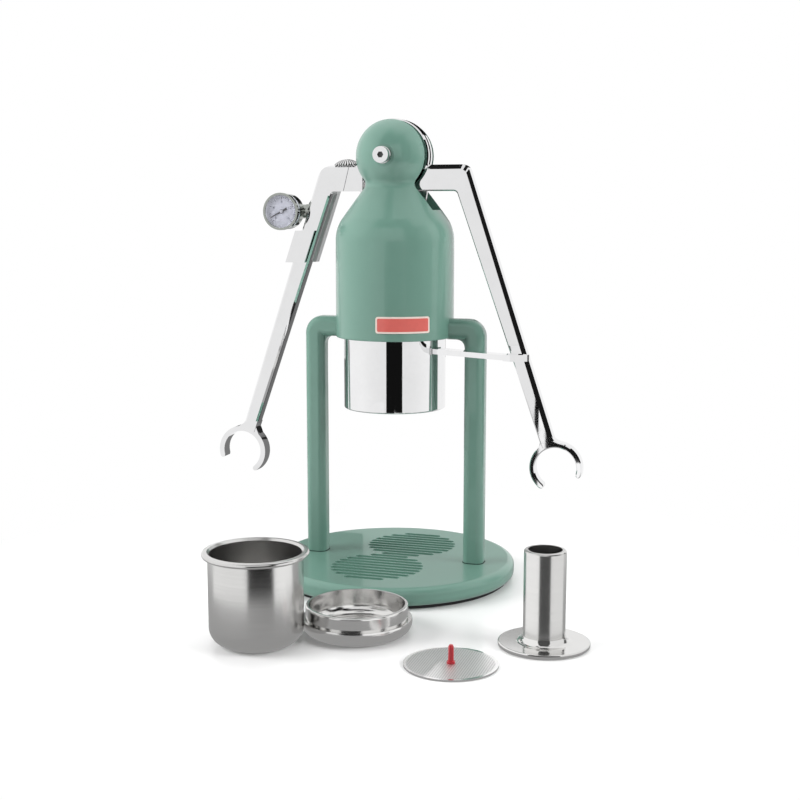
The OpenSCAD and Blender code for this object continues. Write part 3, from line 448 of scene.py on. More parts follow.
@dataclass(frozen=True)
class BrushedSteel(Finish):
    """Stainless steel with fine lines in one direction."""

    name: str = "brushed_stainless"
    tone: Colour = (0.62, 0.61, 0.6)
    lift: float = 1.12
    grain: Grain = Grain.RINGS
    scale: float = 60.0
    cloud_scale: float = 25.0
    cloud_contrast: float = 1.6
    line_share: float = 0.6
    spread: Span = (0.3, 0.7)
    rough: Span = (0.16, 0.34)
    strength: float = 0.12
    depth: float = 0.0002

    def make(self) -> Material:
        """Builds the material.

        Returns:
            The finished material.
        """
        material, kit, shader = self.start()
        lines = kit.add("ShaderNodeGroup", node_tree=EFFECTS.brushed(self.grain), Scale=self.scale)
        clouds = clouds_mask(kit, self.cloud_scale, self.cloud_contrast)
        pale = tuple(min(1.0, self.lift * c) for c in self.tone)
        kit.put(shader, "Base Color", kit.mix(lines.outputs["Dull"], pale, self.tone))
        kit.put(shader, "Metallic", 1.0)
        both = kit.blend(lines.outputs["Dull"], clouds, self.line_share)
        kit.put(shader, "Roughness", kit.ramp(both, self.spread, self.rough))
        bump = kit.add("Bump", Height=lines.outputs["Height"], Strength=self.strength, Distance=self.depth)
        kit.put(shader, "Normal", bump.outputs[0])
        return material


@dataclass(frozen=True)
class Plain(Finish):
    """Rubber, ink, moulded plastic or printed metal: a dielectric with grain."""

    tone: Colour = (0.5, 0.5, 0.5)
    rough: float = 0.5
    coat: float = 0.0
    coat_rough: float = 0.08
    grain: float = 600.0
    cloud_share: float = 0.08
    cloud_contrast: float = 1.5
    strength: float = 0.15
    depth: float = 0.0003
    vary: float = 0.12
    rough_vary: float = 0.15

    def make(self) -> Material:
        """Builds the material.

        Returns:
            The finished material.
        """
        material, kit, shader = self.start()
        clouds = clouds_mask(kit, self.grain * self.cloud_share, self.cloud_contrast)
        low = tuple(c * (1.0 - self.vary) for c in self.tone)
        high = tuple(min(1.0, c * (1.0 + self.vary)) for c in self.tone)
        kit.put(shader, "Base Color", kit.mix(clouds, low, high))
        rough = (self.rough * (1.0 - self.rough_vary), min(1.0, self.rough * (1.0 + self.rough_vary)))
        kit.put(shader, "Roughness", kit.ramp(clouds, (0.0, 1.0), rough))
        kit.put(shader, "Coat Weight", self.coat)
        kit.put(shader, "Coat Roughness", self.coat_rough)
        Ripple(self.grain, self.strength, self.depth).bump(kit, shader)
        return material


@dataclass(frozen=True)
class ClearGlass(Finish):
    """The thin lens of the gauge."""

    name: str = "gauge_glass"
    tone: Colour = (0.97, 0.98, 1.0)
    ior: float = 1.45
    clouds: Span = (60.0, 2.0)
    rough: Span = (0.0, 0.05)

    def make(self) -> Material:
        """Builds the material.

        Returns:
            The finished material.
        """
        material, kit, shader = self.start()
        kit.put(shader, "Base Color", self.tone)
        kit.put(shader, "Transmission Weight", 1.0)
        kit.put(shader, "IOR", self.ior)
        kit.put(shader, "Roughness", kit.ramp(clouds_mask(kit, *self.clouds), (0.0, 1.0), self.rough))
        return material


@dataclass(frozen=True)
class KnurledSteel(Finish):
    """Bright steel with grooves cut round an upright knob; the grooves are painted near-black as shade."""

    name: str = "knurled_steel"
    tone: Colour = (0.97, 0.97, 0.97)
    # painted shade: the near-black colour put in the grooves
    groove_tone: Colour = (0.05, 0.05, 0.05)
    axis_x: float = -33.2 * MM
    grooves: float = 30.0
    groove_edge: Span = (-0.6, 0.6)
    clouds: Span = (60.0, 1.4)
    rough: Span = (0.16, 0.3)
    strength: float = 0.5
    depth: float = 0.0004

    def make(self) -> Material:
        """Builds the material.

        Returns:
            The finished material.
        """
        material, kit, shader = self.start()
        parts = kit.add("SeparateXYZ", Vector=kit.add("TexCoord").outputs["Object"])
        turn = kit.math("ARCTAN2", parts.outputs["Y"], kit.math("SUBTRACT", parts.outputs["X"], self.axis_x))
        wave = kit.math("SINE", kit.math("MULTIPLY", turn, self.grooves))
        ridge = kit.ramp(wave, self.groove_edge, (0.0, 1.0))
        # painted shade: near-black in the grooves, bright steel on the ridges
        kit.put(shader, "Base Color", kit.mix(ridge, self.groove_tone, self.tone))
        kit.put(shader, "Metallic", 1.0)
        kit.put(shader, "Roughness", kit.ramp(clouds_mask(kit, *self.clouds), (0.0, 1.0), self.rough))
        bump = kit.add("Bump", Height=ridge, Strength=self.strength, Distance=self.depth)
        kit.put(shader, "Normal", bump.outputs[0])
        return material


@dataclass(frozen=True)
class PunchedSteel(Finish):
    """Polished steel with a field of fine punched dots in the middle of a disc."""

    name: str = "punched_stainless"
    tone: Colour = (0.95, 0.945, 0.94)
    dulling: float = 0.93
    hole_tone: Colour = (0.5, 0.5, 0.5)
    middle: Point = (0.0825, -0.1615, 0.0)
    field_r: float = 24.3 * MM
    field_edge: float = 0.8 * MM
    pitch: float = 1.4 * MM
    hole_edge: Span = (0.22, 0.32)
    clouds: Span = (30.0, 1.4)
    rough_span: Span = (0.3, 0.8)
    rough: Span = (0.14, 0.22)
    field_rough: float = 0.3
    strength: float = 0.3
    depth: float = 0.0002

    def make(self) -> Material:
        """Builds the material.

        Returns:
            The finished material.
        """
        material, kit, shader = self.start()
        place = kit.add("TexCoord").outputs["Object"]
        centred = kit.add("Mapping", Vector=place, Location=tuple(-c for c in self.middle)).outputs[0]
        flat = kit.vector("MULTIPLY", centred, (1.0, 1.0, 0.0))
        edge = (self.field_r, self.field_r + self.field_edge)
        inside = kit.ramp(kit.vector("LENGTH", flat), edge, (1.0, 0.0))
        cells = kit.add("TexVoronoi", Vector=flat, Scale=1.0 / self.pitch, Randomness=0.0)
        dots = kit.ramp(cells.outputs["Distance"], self.hole_edge, (1.0, 0.0))
        holes = kit.math("MULTIPLY", dots, inside)
        clouds = clouds_mask(kit, *self.clouds)
        metal = kit.mix(clouds, self.tone, tuple(self.dulling * c for c in self.tone))
        kit.put(shader, "Base Color", kit.mix(holes, metal, self.hole_tone))
        kit.put(shader, "Metallic", 1.0)
        rough = kit.ramp(clouds, self.rough_span, self.rough)
        kit.put(shader, "Roughness", kit.math("ADD", rough, kit.math("MULTIPLY", inside, self.field_rough)))
        height = kit.math("SUBTRACT", 1.0, holes)
        bump = kit.add("Bump", Height=height, Strength=self.strength, Distance=self.depth)
        kit.put(shader, "Normal", bump.outputs[0])
        return material


@dataclass
class Wardrobe:
    """Every finish, made once and handed out by name."""

    made: Dict[str, Material] = field(default_factory=dict)

    def get(self, finish: Finish) -> Material:
        """The material of a finish.

        Args:
            finish: one of the finishes.

        Returns:
            The material, made on first use.
        """
        if finish.name not in self.made:
            self.made[finish.name] = finish.make()
        return self.made[finish.name]


ENAMEL = Enamel()
CHROME = Chrome()
GAUGE_METAL = Chrome("gauge_plating", tone=(0.42, 0.44, 0.415), rough=(0.06, 0.14))
STEEL = BrushedSteel(tone=(0.72, 0.715, 0.705), rough=(0.17, 0.27), strength=0.03)
STEEL_FINE = BrushedSteel("satin_stainless", tone=(0.66, 0.655, 0.65), rough=(0.12, 0.26), strength=0.06)
SATIN = BrushedSteel("polished_stainless", tone=(0.76, 0.755, 0.745), rough=(0.13, 0.2), strength=0.02)
POLISHED = BrushedSteel("bright_stainless", tone=(0.76, 0.755, 0.745), rough=(0.06, 0.12), strength=0.02)
# painted shade: near-black steel for the bottom of the axle's socket, where shade falls
SOCKET_SHADE = BrushedSteel("shaded_stainless", tone=(0.09, 0.09, 0.09), rough=(0.3, 0.5), strength=0.05)
PIPE = BrushedSteel("pipe_steel", tone=(0.7, 0.7, 0.7), grain=Grain.ALONG_X, rough=(0.34, 0.45),
                    strength=0.02)
BRONZE = BrushedSteel("turned_bronze", tone=(0.62, 0.45, 0.22), rough=(0.2, 0.4))
KNURLED = KnurledSteel()
PUNCHED = PunchedSteel()
BADGE_RED = Plain("badge_red", tone=(0.62, 0.12, 0.1), rough=0.35, coat=0.4, strength=0.04)
BADGE_EDGE = Plain("badge_edge", tone=(0.78, 0.66, 0.6), rough=0.4, strength=0.05)
TICK = Plain("dial_ink", tone=(0.16, 0.16, 0.24), rough=0.5, strength=0.05)
HUB_PAINT = Plain("needle_hub", tone=(0.72, 0.72, 0.78), rough=0.3, strength=0.05)
# painted shadow: near-black for the line where each leg stands on the plate
GAP_SHADOW = Plain("joint_shadow", tone=(0.01, 0.03, 0.022), rough=0.6, strength=0.1)
RUBBER = Plain("black_rubber", tone=(0.007, 0.007, 0.008), rough=0.6, strength=0.2)
# the needle's black lacquer; also painted shade along the left arm's seam
INK_AND_SEAM_SHADE = Plain("needle_lacquer", tone=(0.03, 0.03, 0.04), rough=0.35)
RED = Plain("red_plug", tone=(0.5, 0.018, 0.03), rough=0.3, coat=0.5, strength=0.05)
DIAL = Plain("dial_paint", tone=(0.88, 0.88, 0.97), rough=0.5, strength=0.05, vary=0.03)
PAPER = Finish("floor_paper")
GLASS = ClearGlass()


def add_object(name: str, data: bpy.types.ID) -> bpy.types.Object:
    """Makes an object and links it to the scene.

    Args:
        name: the object's name.
        data: its mesh, lamp, camera or curve.

    Returns:
        The new object.
    """
    thing = bpy.data.objects.new(name, data)
    bpy.context.scene.collection.objects.link(thing)
    return thing


def grid_faces(rows: int, columns: int) -> np.ndarray:
    """The faces of a grid of points numbered row by row.

    Args:
        rows: how many rows of points.
        columns: how many points in a row.

    Returns:
        One row of four point numbers for each face.
    """
    first = (np.arange(rows - 1)[:, None] * columns + np.arange(columns - 1)[None, :]).ravel()
    return np.stack([first, first + 1, first + columns + 1, first + columns], axis=1)


def slab_mesh(front: np.ndarray, back: np.ndarray) -> Shell:
    """A closed slab between two grids of the same shape.

    Args:
        front: the outer points, rows by columns by x, y, z.
        back: the inner points in the same order.

    Returns:
        The points and the faces.
    """
    rows, columns = front.shape[:2]
    count = rows * columns
    ahead = grid_faces(rows, columns)
    number = np.arange(count).reshape(rows, columns)
    rim = np.concatenate([number[0, :-1], number[:-1, -1], number[-1, :0:-1], number[:0:-1, 0]])
    after = np.roll(rim, -1)
    sides = np.stack([rim, rim + count, after + count, after], axis=1)
    points = np.concatenate([front.reshape(-1, 3), back.reshape(-1, 3)])
    return points, np.concatenate([ahead, ahead[:, ::-1] + count, sides])


def loop_mesh(path: np.ndarray, outward: np.ndarray, profile: np.ndarray) -> Shell:
    """A closed profile carried round a closed level path.

    Args:
        path: the path's points x, y, z.
        outward: the level outward direction at each point.
        profile: points as how far outward and how far up, in a closed order.

    Returns:
        The points and the faces.
    """
    count, turns = len(path), len(profile)
    up = np.array([0.0, 0.0, 1.0])
    points = path[:, None, :] + outward[:, None, :] * profile[None, :, :1] + up * profile[None, :, 1:]
    here, side = np.meshgrid(np.arange(count), np.arange(turns), indexing="ij")
    after, above = (here + 1) % count, (side + 1) % turns
    corners = [here * turns + side, after * turns + side, after * turns + above, here * turns + above]
    return points.reshape(-1, 3), np.stack(corners, axis=2).reshape(-1, 4)


def lathe_mesh(profile: np.ndarray, steps: int) -> Tuple[np.ndarray, List[List[int]]]:
    """A profile turned about Z, closed at both ends on the axis.

    Args:
        profile: radius and height of each point, the first and last with radius 0.
        steps: how many points round the axis.

    Returns:
        The points and the faces.
    """
    ring = profile[1:-1]
    turn = np.linspace(0.0, 2.0 * np.pi, steps, endpoint=False)
    body = np.stack([ring[:, None, 0] * np.cos(turn), ring[:, None, 0] * np.sin(turn),
                     np.repeat(ring[:, 1:], steps, axis=1)], axis=2).reshape(-1, 3)
    low, high = len(body), len(body) + 1
    points = np.concatenate([body, [[0.0, 0.0, profile[0, 1]], [0.0, 0.0, profile[-1, 1]]]])
    here = np.arange(steps)
    after = (here + 1) % steps
    level = (np.arange(len(ring) - 1) * steps)[:, None]
    corners = [level + here, level + after, level + steps + after, level + steps + here]
    sides = np.stack(corners, axis=2).reshape(-1, 4)
    top = (len(ring) - 1) * steps
    under = np.stack([np.full(steps, low), after, here], axis=1)
    over = np.stack([np.full(steps, high), top + here, top + after], axis=1)
    return points, [*sides.tolist(), *under.tolist(), *over.tolist()]


def join_meshes(parts: Sequence[Shell]) -> Shell:
    """Several closed shells as one set of points and faces.

    Args:
        parts: points and faces of each shell.

    Returns:
        All points and all faces.
    """
    starts = np.cumsum([0] + [len(points) for points, _ in parts[:-1]])
    faces = [[int(corner + start) for corner in face]
             for (_, group), start in zip(parts, starts) for face in group]
    return np.concatenate([points for points, _ in parts]), faces


def bar_mesh(outer: np.ndarray, inner: np.ndarray, depth: Span, face_cut: Span, edge_cut: float) -> Shell:
    """A bar between two paths in the X-Z plane, with a wide bevel on its outer front edge.

    Its section is an octagon, and each end is closed with one face.

    Args:
        outer: the points of the outer path.
        inner: the points of the inner path, one for each outer point.
        depth: Y of the front and of the back face.
        face_cut: how far the wide bevel reaches across the front and into the depth.
        edge_cut: the width of the other three bevels.

    Returns:
        The points and the faces.
    """
    width = np.linalg.norm(inner - outer, axis=1, keepdims=True)
    across = (inner - outer) / width
    wide = np.minimum(face_cut[0], 0.8 * width - edge_cut)
    small = np.minimum(edge_cut, 0.4 * width)
    front, back = depth
    corners = [(outer + across * wide, front), (inner - across * small, front), (inner, front + edge_cut),
               (inner, back - edge_cut), (inner - across * small, back), (outer + across * small, back),
               (outer, back - edge_cut), (outer, front + face_cut[1])]
    level = np.ones((len(outer), 1))
    sheets = [np.concatenate([flat[:, :1], y * level, flat[:, 1:]], axis=1) for flat, y in corners]
    here, side = np.meshgrid(np.arange(len(outer) - 1), np.arange(8), indexing="ij")
    start, after = here * 8, (side + 1) % 8
    walls = np.stack([start + side, start + after, start + 8 + after, start + 8 + side], axis=2)
    last = (len(outer) - 1) * 8
    caps = [list(range(7, -1, -1)), list(range(last, last + 8))]
    return np.stack(sheets, axis=1).reshape(-1, 3), [*walls.reshape(-1, 4).tolist(), *caps]


def upright(axis: Sequence[float], radius: float, azimuths: Span, heights: Span) -> np.ndarray:
    """A grid of points on an upright arc of a cylinder.

    Args:
        axis: X and Y of the cylinder's axis, any more values are left out.
        radius: how far the arc stands from it.
        azimuths: where the arc starts and ends, in degrees from +X.
        heights: its lower and upper edge.

    Returns:
        The points as rows, columns and x, y, z.
    """
    turn, rise = np.meshgrid(np.radians(np.linspace(*azimuths, 25)), np.array(heights))
    return np.stack([axis[0] + radius * np.cos(turn), axis[1] + radius * np.sin(turn), rise], axis=2)


def flat_grid(first: Span, second: Span, level: float, order: Tuple[int, int, int]) -> np.ndarray:
    """A flat grid of points across two of the axes.

    Args:
        first: where it starts and ends along its rows.
        second: where it starts and ends along its columns.
        level: its place on the third axis.
        order: which of first, second and level gives X, Y and Z.

    Returns:
        The points as rows, columns and x, y, z.
    """
    wide, tall = np.meshgrid(np.linspace(*first, 3), np.linspace(*second, 3))
    values = (wide, tall, np.full_like(wide, level))
    return np.stack([values[index] for index in order], axis=2)


@dataclass(frozen=True)
class Card:
    """One card of the studio that only shows in mirror reflections."""

    name: str
    grid: np.ndarray
    tone: float
    vary: float = 0.15
    clouds: Span = (2.0, 0.8)

    def build(self) -> None:
        """Makes the card and hides it from everything but mirror reflections."""
        mesh = bpy.data.meshes.new(self.name)
        mesh.from_pydata(self.grid.reshape(-1, 3).tolist(), [], grid_faces(*self.grid.shape[:2]).tolist())
        card = add_object(self.name, mesh)
        material = bpy.data.materials.new(self.name)
        material.use_nodes = True
        material.node_tree.nodes.clear()
        kit = Tree(material.node_tree)
        tones = [((1.0 + side * self.vary) * self.tone,) * 3 for side in (-1.0, 1.0)]
        glow = kit.add("Emission", Strength=1.0, Color=kit.mix(clouds_mask(kit, *self.clouds), *tones))
        kit.put(kit.add("OutputMaterial"), "Surface", glow.outputs[0])
        mesh.materials.append(material)
        card.visible_camera = False
        card.visible_diffuse = False
        card.visible_shadow = False
        card.visible_transmission = False


@dataclass(frozen=True)
class SoftBox:
    """One square lamp that mirrors don't show."""

    name: str
    place: Point
    turn: Point
    size: float
    power: float

    def build(self) -> None:
        """Makes the lamp."""
        data = bpy.data.lights.new(self.name, "AREA")
        data.energy = self.power
        data.size = self.size
        lamp = add_object(self.name, data)
        lamp.location = self.place
        lamp.rotation_euler = tuple(math.radians(angle) for angle in self.turn)
        lamp.visible_glossy = False


@dataclass(frozen=True)
class Studio:
    """The floor, the lights, the sky and the camera of the photograph."""

    camera_place: Point = (0.25659, -0.82994, 0.25123)
    camera_turn: Point = (81.56, 0.0, 17.18)
    lens: float = 58.22
    sensor: float = 36.0
    shift_x: float = 0.00634
    floor_r: float = 4.0
    floor_sides: int = 96
    floor_drop: float = 0.0002
    floor_shift: Point = (-0.02, 0.07, 0.0)
    floor_tones: Span = (0.91, 0.94)
    floor_rough: float = 0.22
    floor_clouds: Span = (3.0, 0.6)
    white_from: Span = (0.16, 0.34)
    dim_from: Span = (0.14, 0.42)
    dim_level: float = 0.42
    sky_level: float = 0.37
    sky_low: float = 0.8
    sky_rise: Span = (-0.1, 0.9)
    loss: Span = (0.05, 0.16)
    body_axis: Span = (0.0, 0.0)
    basket_axis: Span = (-0.0356, -0.158)
    tamper_axis: Span = (0.1256, -0.113)
    claw_axis: Span = (0.085, 0.0)
    arm_edge: Tuple[Span, Span] = ((-0.0433, 0.2622), (-0.1047, 0.088))
    arm_inward: Span = (0.9461, -0.3239)
    lamps: Tuple[SoftBox, ...] = (
        SoftBox("key", (-1.15, -0.55, 0.75), (66.0, 0.0, -64.0), 0.9, 20.0),
        SoftBox("rim", (1.25, -0.1, 0.7), (66.0, 0.0, 86.0), 0.8, 14.0),
        SoftBox("top", (-0.1, 0.3, 1.3), (-12.0, 0.0, 0.0), 0.9, 8.0),
    )

    def build(self) -> None:
        """Makes the whole studio."""
        self._camera()
        self._floor()
        self._sky()
        for lamp in self.lamps:
            lamp.build()
        self._cards()

    def _camera(self) -> None:
        """Places the camera fitted to the photograph."""
        data = bpy.data.cameras.new("camera")
        data.lens = self.lens
        data.sensor_width = self.sensor
        data.shift_x = self.shift_x
        camera = add_object("camera", data)
        camera.location = self.camera_place
        camera.rotation_euler = tuple(math.radians(angle) for angle in self.camera_turn)
        bpy.context.scene.camera = camera
        bpy.context.scene.view_settings.view_transform = "Standard"

    def _floor(self) -> None:
        """A pale floor disc that keeps shadows near the object and turns to plain white further out."""
        turn = np.linspace(0.0, 2.0 * np.pi, self.floor_sides, endpoint=False)
        ring = np.stack([self.floor_r * np.cos(turn), self.floor_r * np.sin(turn),
                         np.full(self.floor_sides, -self.floor_drop)], axis=1)
        mesh = bpy.data.meshes.new("floor")
        mesh.from_pydata(ring.tolist(), [], [list(range(self.floor_sides))])
        floor = add_object("floor", mesh)
        material, kit, shader = PAPER.start()
        tones = [(tone,) * 3 for tone in self.floor_tones]
        kit.put(shader, "Base Color", kit.mix(clouds_mask(kit, *self.floor_clouds), *tones))
        kit.put(shader, "Roughness", self.floor_rough)
        spot = kit.add("TexCoord").outputs["Object"]
        place = kit.add("Mapping", Vector=spot, Location=self.floor_shift).outputs[0]
        away = kit.vector("LENGTH", place)
        path = kit.add("LightPath").outputs
        seen = kit.math("MAXIMUM", path["Is Camera Ray"],
                        kit.math("MAXIMUM", path["Is Glossy Ray"], path["Is Transmission Ray"]))
        dim = kit.ramp(away, self.dim_from, (self.dim_level, 1.0), soft=True)
        mirrored = kit.math("MULTIPLY", kit.math("SUBTRACT", 1.0, self._shade(kit, place)), dim)
        tone = kit.ramp(path["Is Glossy Ray"], (0.0, 1.0), (1.0, mirrored))
        white = kit.add("Emission", Strength=1.0, Color=tone)
        fade = kit.math("MULTIPLY", kit.ramp(away, self.white_from, (0.0, 1.0), soft=True), seen)
        mask = kit.math("MAXIMUM", fade, path["Is Glossy Ray"])
        output = next(node for node in material.node_tree.nodes if node.type == "OUTPUT_MATERIAL")
        kit.put(output, "Surface", kit.mix_shader(mask, shader, white))
        mesh.materials.append(material)

    def _shade(self, kit: Tree, direction: Socket) -> Socket:
        """How much darker mirrors see the room towards the camera than at the sides.

        Args:
            kit: the tree to add to.
            direction: a vector away from the object.

        Returns:
            The loss of level, from its least to its greatest value.
        """
        unit = kit.vector("NORMALIZE", kit.vector("MULTIPLY", direction, (1.0, 1.0, 0.0)))
        turn = math.radians(self.camera_turn[2])
        along = kit.vector("DOT_PRODUCT", unit, (math.sin(turn), -math.cos(turn), 0.0))
        return kit.ramp(along, (0.0, 1.0), self.loss, soft=True)

    def _sky(self) -> None:
        """White for the camera and for mirrors, a soft level for the light that falls on the object."""
        world = bpy.data.worlds.new("studio")
        bpy.context.scene.world = world
        world.use_nodes = True
        world.node_tree.nodes.clear()
        kit = Tree(world.node_tree)
        direction = kit.add("TexCoord").outputs["Generated"]
        height = kit.add("SeparateXYZ", Vector=direction).outputs["Z"]
        level = kit.ramp(height, self.sky_rise, (self.sky_level * self.sky_low, self.sky_level))
        soft = kit.add("Background", Strength=1.0, Color=level)
        bright = kit.math("SUBTRACT", 1.0, self._shade(kit, direction))
        mirror = kit.add("Background", Strength=1.0, Color=bright)
        white = kit.add("Background", Strength=1.0, Color=(1.0, 1.0, 1.0))
        path = kit.add("LightPath").outputs
        shiny = kit.math("MAXIMUM", path["Is Glossy Ray"], path["Is Transmission Ray"])
        unseen = kit.mix_shader(shiny, soft, mirror).node
        kit.put(kit.add("OutputWorld"), "Surface", kit.mix_shader(path["Is Camera Ray"], unseen, white))

    def _behind_arm(self, inset: Span, depth: float) -> np.ndarray:
        """An upright strip behind the left forearm that leans with it.

        Args:
            inset: how far its two long edges lie inside the forearm's inner side.
            depth: its Y.

        Returns:
            The points as rows, columns and x, y, z.
        """
        ends = np.array(self.arm_edge)
        flat = ends[:, None, :] + np.array(self.arm_inward) * np.linspace(*inset, 3)[None, :, None]
        return np.stack([flat[..., 0], np.full(flat.shape[:2], depth), flat[..., 1]], axis=2)

    def _cards(self) -> None:
        """Dark and pale cards that the polished metal shows as bands."""
        body, basket, tamper = self.body_axis, self.basket_axis, self.tamper_axis
        for name, grid, tone in (
            ("front_card", upright(body, 0.82, (-91.85, -56.7), (0.001, 0.24)), 0.006),
            ("right_card", upright(body, 0.45, (16.0, 37.0), (0.001, 0.24)), 0.12),
            ("left_card", upright(body, 0.45, (112.0, 141.0), (0.001, 0.1)), 0.12),
            ("plate_card", upright(body, 0.46, (88.0, 128.0), (0.1, 0.21)), 0.45),
            ("front_low_card", upright(body, 0.6, (-91.7, -56.8), (0.001, 0.06)), 0.006),
            ("elbow_card", upright(body, 0.5, (-125.0, -30.0), (0.6, 1.25)), 0.01),
            ("edge_card", upright(body, 0.5, (-55.0, 0.0), (0.13, 0.62)), 0.01),
            ("basket_card", upright(basket, 0.11, (-84.0, -30.0), (0.009, 0.075)), 0.01),
            ("basket_light", upright(basket, 0.11, (-176.0, -85.0), (0.004, 0.09)), 0.9),
            ("basket_right_light", upright(basket, 0.11, (-29.0, 2.0), (0.004, 0.09)), 1.0),
            ("tamper_card", upright(tamper, 0.035, (-104.0, -54.0), (0.0005, 0.06)), 0.08),
            ("tamper_left_light", upright(tamper, 0.035, (-185.0, -104.5), (0.0005, 0.06)), 1.0),
            ("tamper_right_light", upright(tamper, 0.035, (-53.5, 20.0), (0.0005, 0.06)), 0.85),
            ("claw_card", upright(self.claw_axis, 0.35, (-106.0, -83.0), (0.001, 0.05)), 0.01),
            ("back_card", upright(body, 0.45, (84.0, 112.0), (0.27, 0.5)), 0.01),
            ("left_arm_grey", self._behind_arm((0.0125, 0.0172), 0.046), 0.16),
            ("left_arm_dark", self._behind_arm((0.0168, 0.0215), 0.0455), 0.02),
            ("left_claw_card", flat_grid((-0.13, -0.04), (0.012, 0.125), 0.05, (0, 2, 1)), 0.2),
            ("upper_card", flat_grid((-0.07, 0.02), (-0.19, -0.07), 0.585, (0, 1, 2)), 0.012),
        ):
            Card(name, grid, tone).build()


@dataclass(frozen=True)
class ArmShape:
    """The outline of an arm on the +X side, in millimetres."""

    axle_z: float = 285.0
    bar_up: float = 279.3
    bar_bot: float = 262.2
    lean: float = 18.9
    claw_x: float = 111.206
    claw_z: float = 82.35
    top_w: float = 12.0
    end_w: float = 8.8
    ring_mid: float = 15.55
    ring_t: float = 3.5
    ring_half: float = 4.5
    ring_cut: float = 0.7
    tip_short: float = 0.15
    tip_t: float = 0.2
    claw_open: float = 112.0
    neck_half: float = 4.6
    neck_reach: Span = (-0.6, 5.2)
    neck_flare: float = 4.4
    neck_curve: float = 2.2
    neck_cut: Span = (1.1, 0.8)
    neck_edge: float = 0.5
    elbow_round: float = 6.2
    elbow_fillet: float = 3.0
    hub_r: float = 24.3
    hub_edge: float = 0.8
    bore_r: float = 6.5
    half: float = 5.0
    hub_gap: float = 1.5
    rear_gap: float = 0.6
    rear_start: float = 0.1
    ring_steps: int = 72
    hub_steps: int = 120
    bar_from: float = 4.5
    full_from: float = 33.2
    face_cut: Span = (3.0, 2.2)
    edge_cut: float = 0.9

    def _arc(self, corner: Span, radius: float, slope: float) -> np.ndarray:
        """A rounded corner between the level bar and the sloping forearm.

        The arc turns from straight up to the normal of the forearm's edge.

        Args:
            corner: X and Z of the sharp corner.
            radius: the arc's radius.
            slope: how far the edge moves outward for each unit down.

        Returns:
            The arc's points.
        """
        edge = math.atan(slope)
        turn = 0.5 * math.pi + (edge - 0.5 * math.pi) * np.linspace(0.0, 1.0, 13)
        start = corner[0] - radius * math.tan(0.5 * (0.5 * math.pi - edge))
        return np.stack([start + radius * np.cos(turn), corner[1] - radius + radius * np.sin(turn)], axis=1)

    def _paths(self) -> Tuple[np.ndarray, np.ndarray]:
        """The outer and inner path from the shoulder bar round the elbow to the claw.

        Returns:
            Outer and inner points, as many of each.
        """
        lean = math.radians(self.lean)
        centre = np.array([self.claw_x, self.claw_z])
        along = np.array([-math.sin(lean), math.cos(lean)])
        beside = np.array([math.cos(lean), math.sin(lean)])
        elbow = self.claw_x - (self.bar_bot - self.claw_z) * math.tan(lean)
        paths = []
        sides = ((1.0, self.bar_up, self.elbow_round), (-1.0, self.bar_bot, self.elbow_fillet))
        for side, top, radius in sides:
            end = centre + along * self.ring_mid + side * beside * 0.5 * self.end_w
            low = elbow + side * 0.5 * self.top_w / math.cos(lean)
            slope = (end[0] - low) / (self.bar_bot - end[1])
            corner = (low - (top - self.bar_bot) * slope, top)
            paths.append(np.concatenate([[[self.full_from, top]], self._arc(corner, radius, slope), [end]]))
        return paths[0], paths[1]

    def _claw(self) -> List[Shell]:
        """The open ring with rounded ends and the flared neck that carries it.

        The neck's half width falls from its foot with a power of the distance left.

        Returns:
            The shells of ring and neck.
        """
        lean = math.radians(self.lean)
        centre = np.array([self.claw_x, self.claw_z])
        half_open = math.radians(0.5 * self.claw_open)
        start, stop = -0.5 * math.pi + lean + half_open, 1.5 * math.pi + lean - half_open
        tip = 0.5 * self.ring_t - self.tip_short
        ease = np.linspace(0.0, 0.5 * math.pi, 7)[1:]
        past = tip * np.sin(ease) / self.ring_mid
        turns = np.concatenate([start - past[::-1], np.linspace(start, stop, self.ring_steps), stop + past])
        thin = np.maximum(tip * np.cos(ease), self.tip_t)
        half = np.concatenate([thin[::-1], np.full(self.ring_steps, 0.5 * self.ring_t), thin])[:, None]
        ray = np.stack([np.cos(turns), np.sin(turns)], axis=1)
        ring = bar_mesh(centre + ray * (self.ring_mid + half), centre + ray * (self.ring_mid - half),
                        (-self.ring_half, self.ring_half), (self.ring_cut, self.ring_cut), self.ring_cut)
        u = np.linspace(0.0, 1.0, 9)
        height = self.ring_mid + self.neck_reach[0] + (self.neck_reach[1] - self.neck_reach[0]) * u
        width = 0.5 * self.end_w - self.tip_t + self.neck_flare * (1.0 - u) ** self.neck_curve
        sides = [np.stack([side * width * math.cos(lean) - height * math.sin(lean),
                           side * width * math.sin(lean) + height * math.cos(lean)], axis=1) + centre
                 for side in (1.0, -1.0)]
        return [ring, bar_mesh(*sides, (-self.neck_half, self.neck_half), self.neck_cut, self.neck_edge)]

    def _bar(self) -> List[Shell]:
        """The shoulder bar: its thin front half and its rear half, which is cut clear of the other hub.

        Returns:
            The shells of both halves.
        """
        ends = np.array([self.bar_from, self.full_from])
        upper, lower = (np.stack([ends, np.full(2, z)], axis=1) for z in (self.bar_up, self.bar_bot))
        front = bar_mesh(upper, lower, (-self.half, -self.hub_gap), self.face_cut, self.edge_cut)
        rise = np.linspace(self.bar_bot + self.edge_cut, self.bar_up - self.edge_cut, 12)
        clear = np.sqrt((self.hub_r + self.rear_gap) ** 2 - (self.axle_z - rise) ** 2)
        across = np.stack([clear, np.full(12, self.full_from)], axis=1)
        grids = [np.stack([across, np.full((12, 2), y), np.repeat(rise[:, None], 2, axis=1)], axis=2)
                 for y in (self.hub_gap + self.rear_start, self.half)]
        return [front, slab_mesh(*grids)]

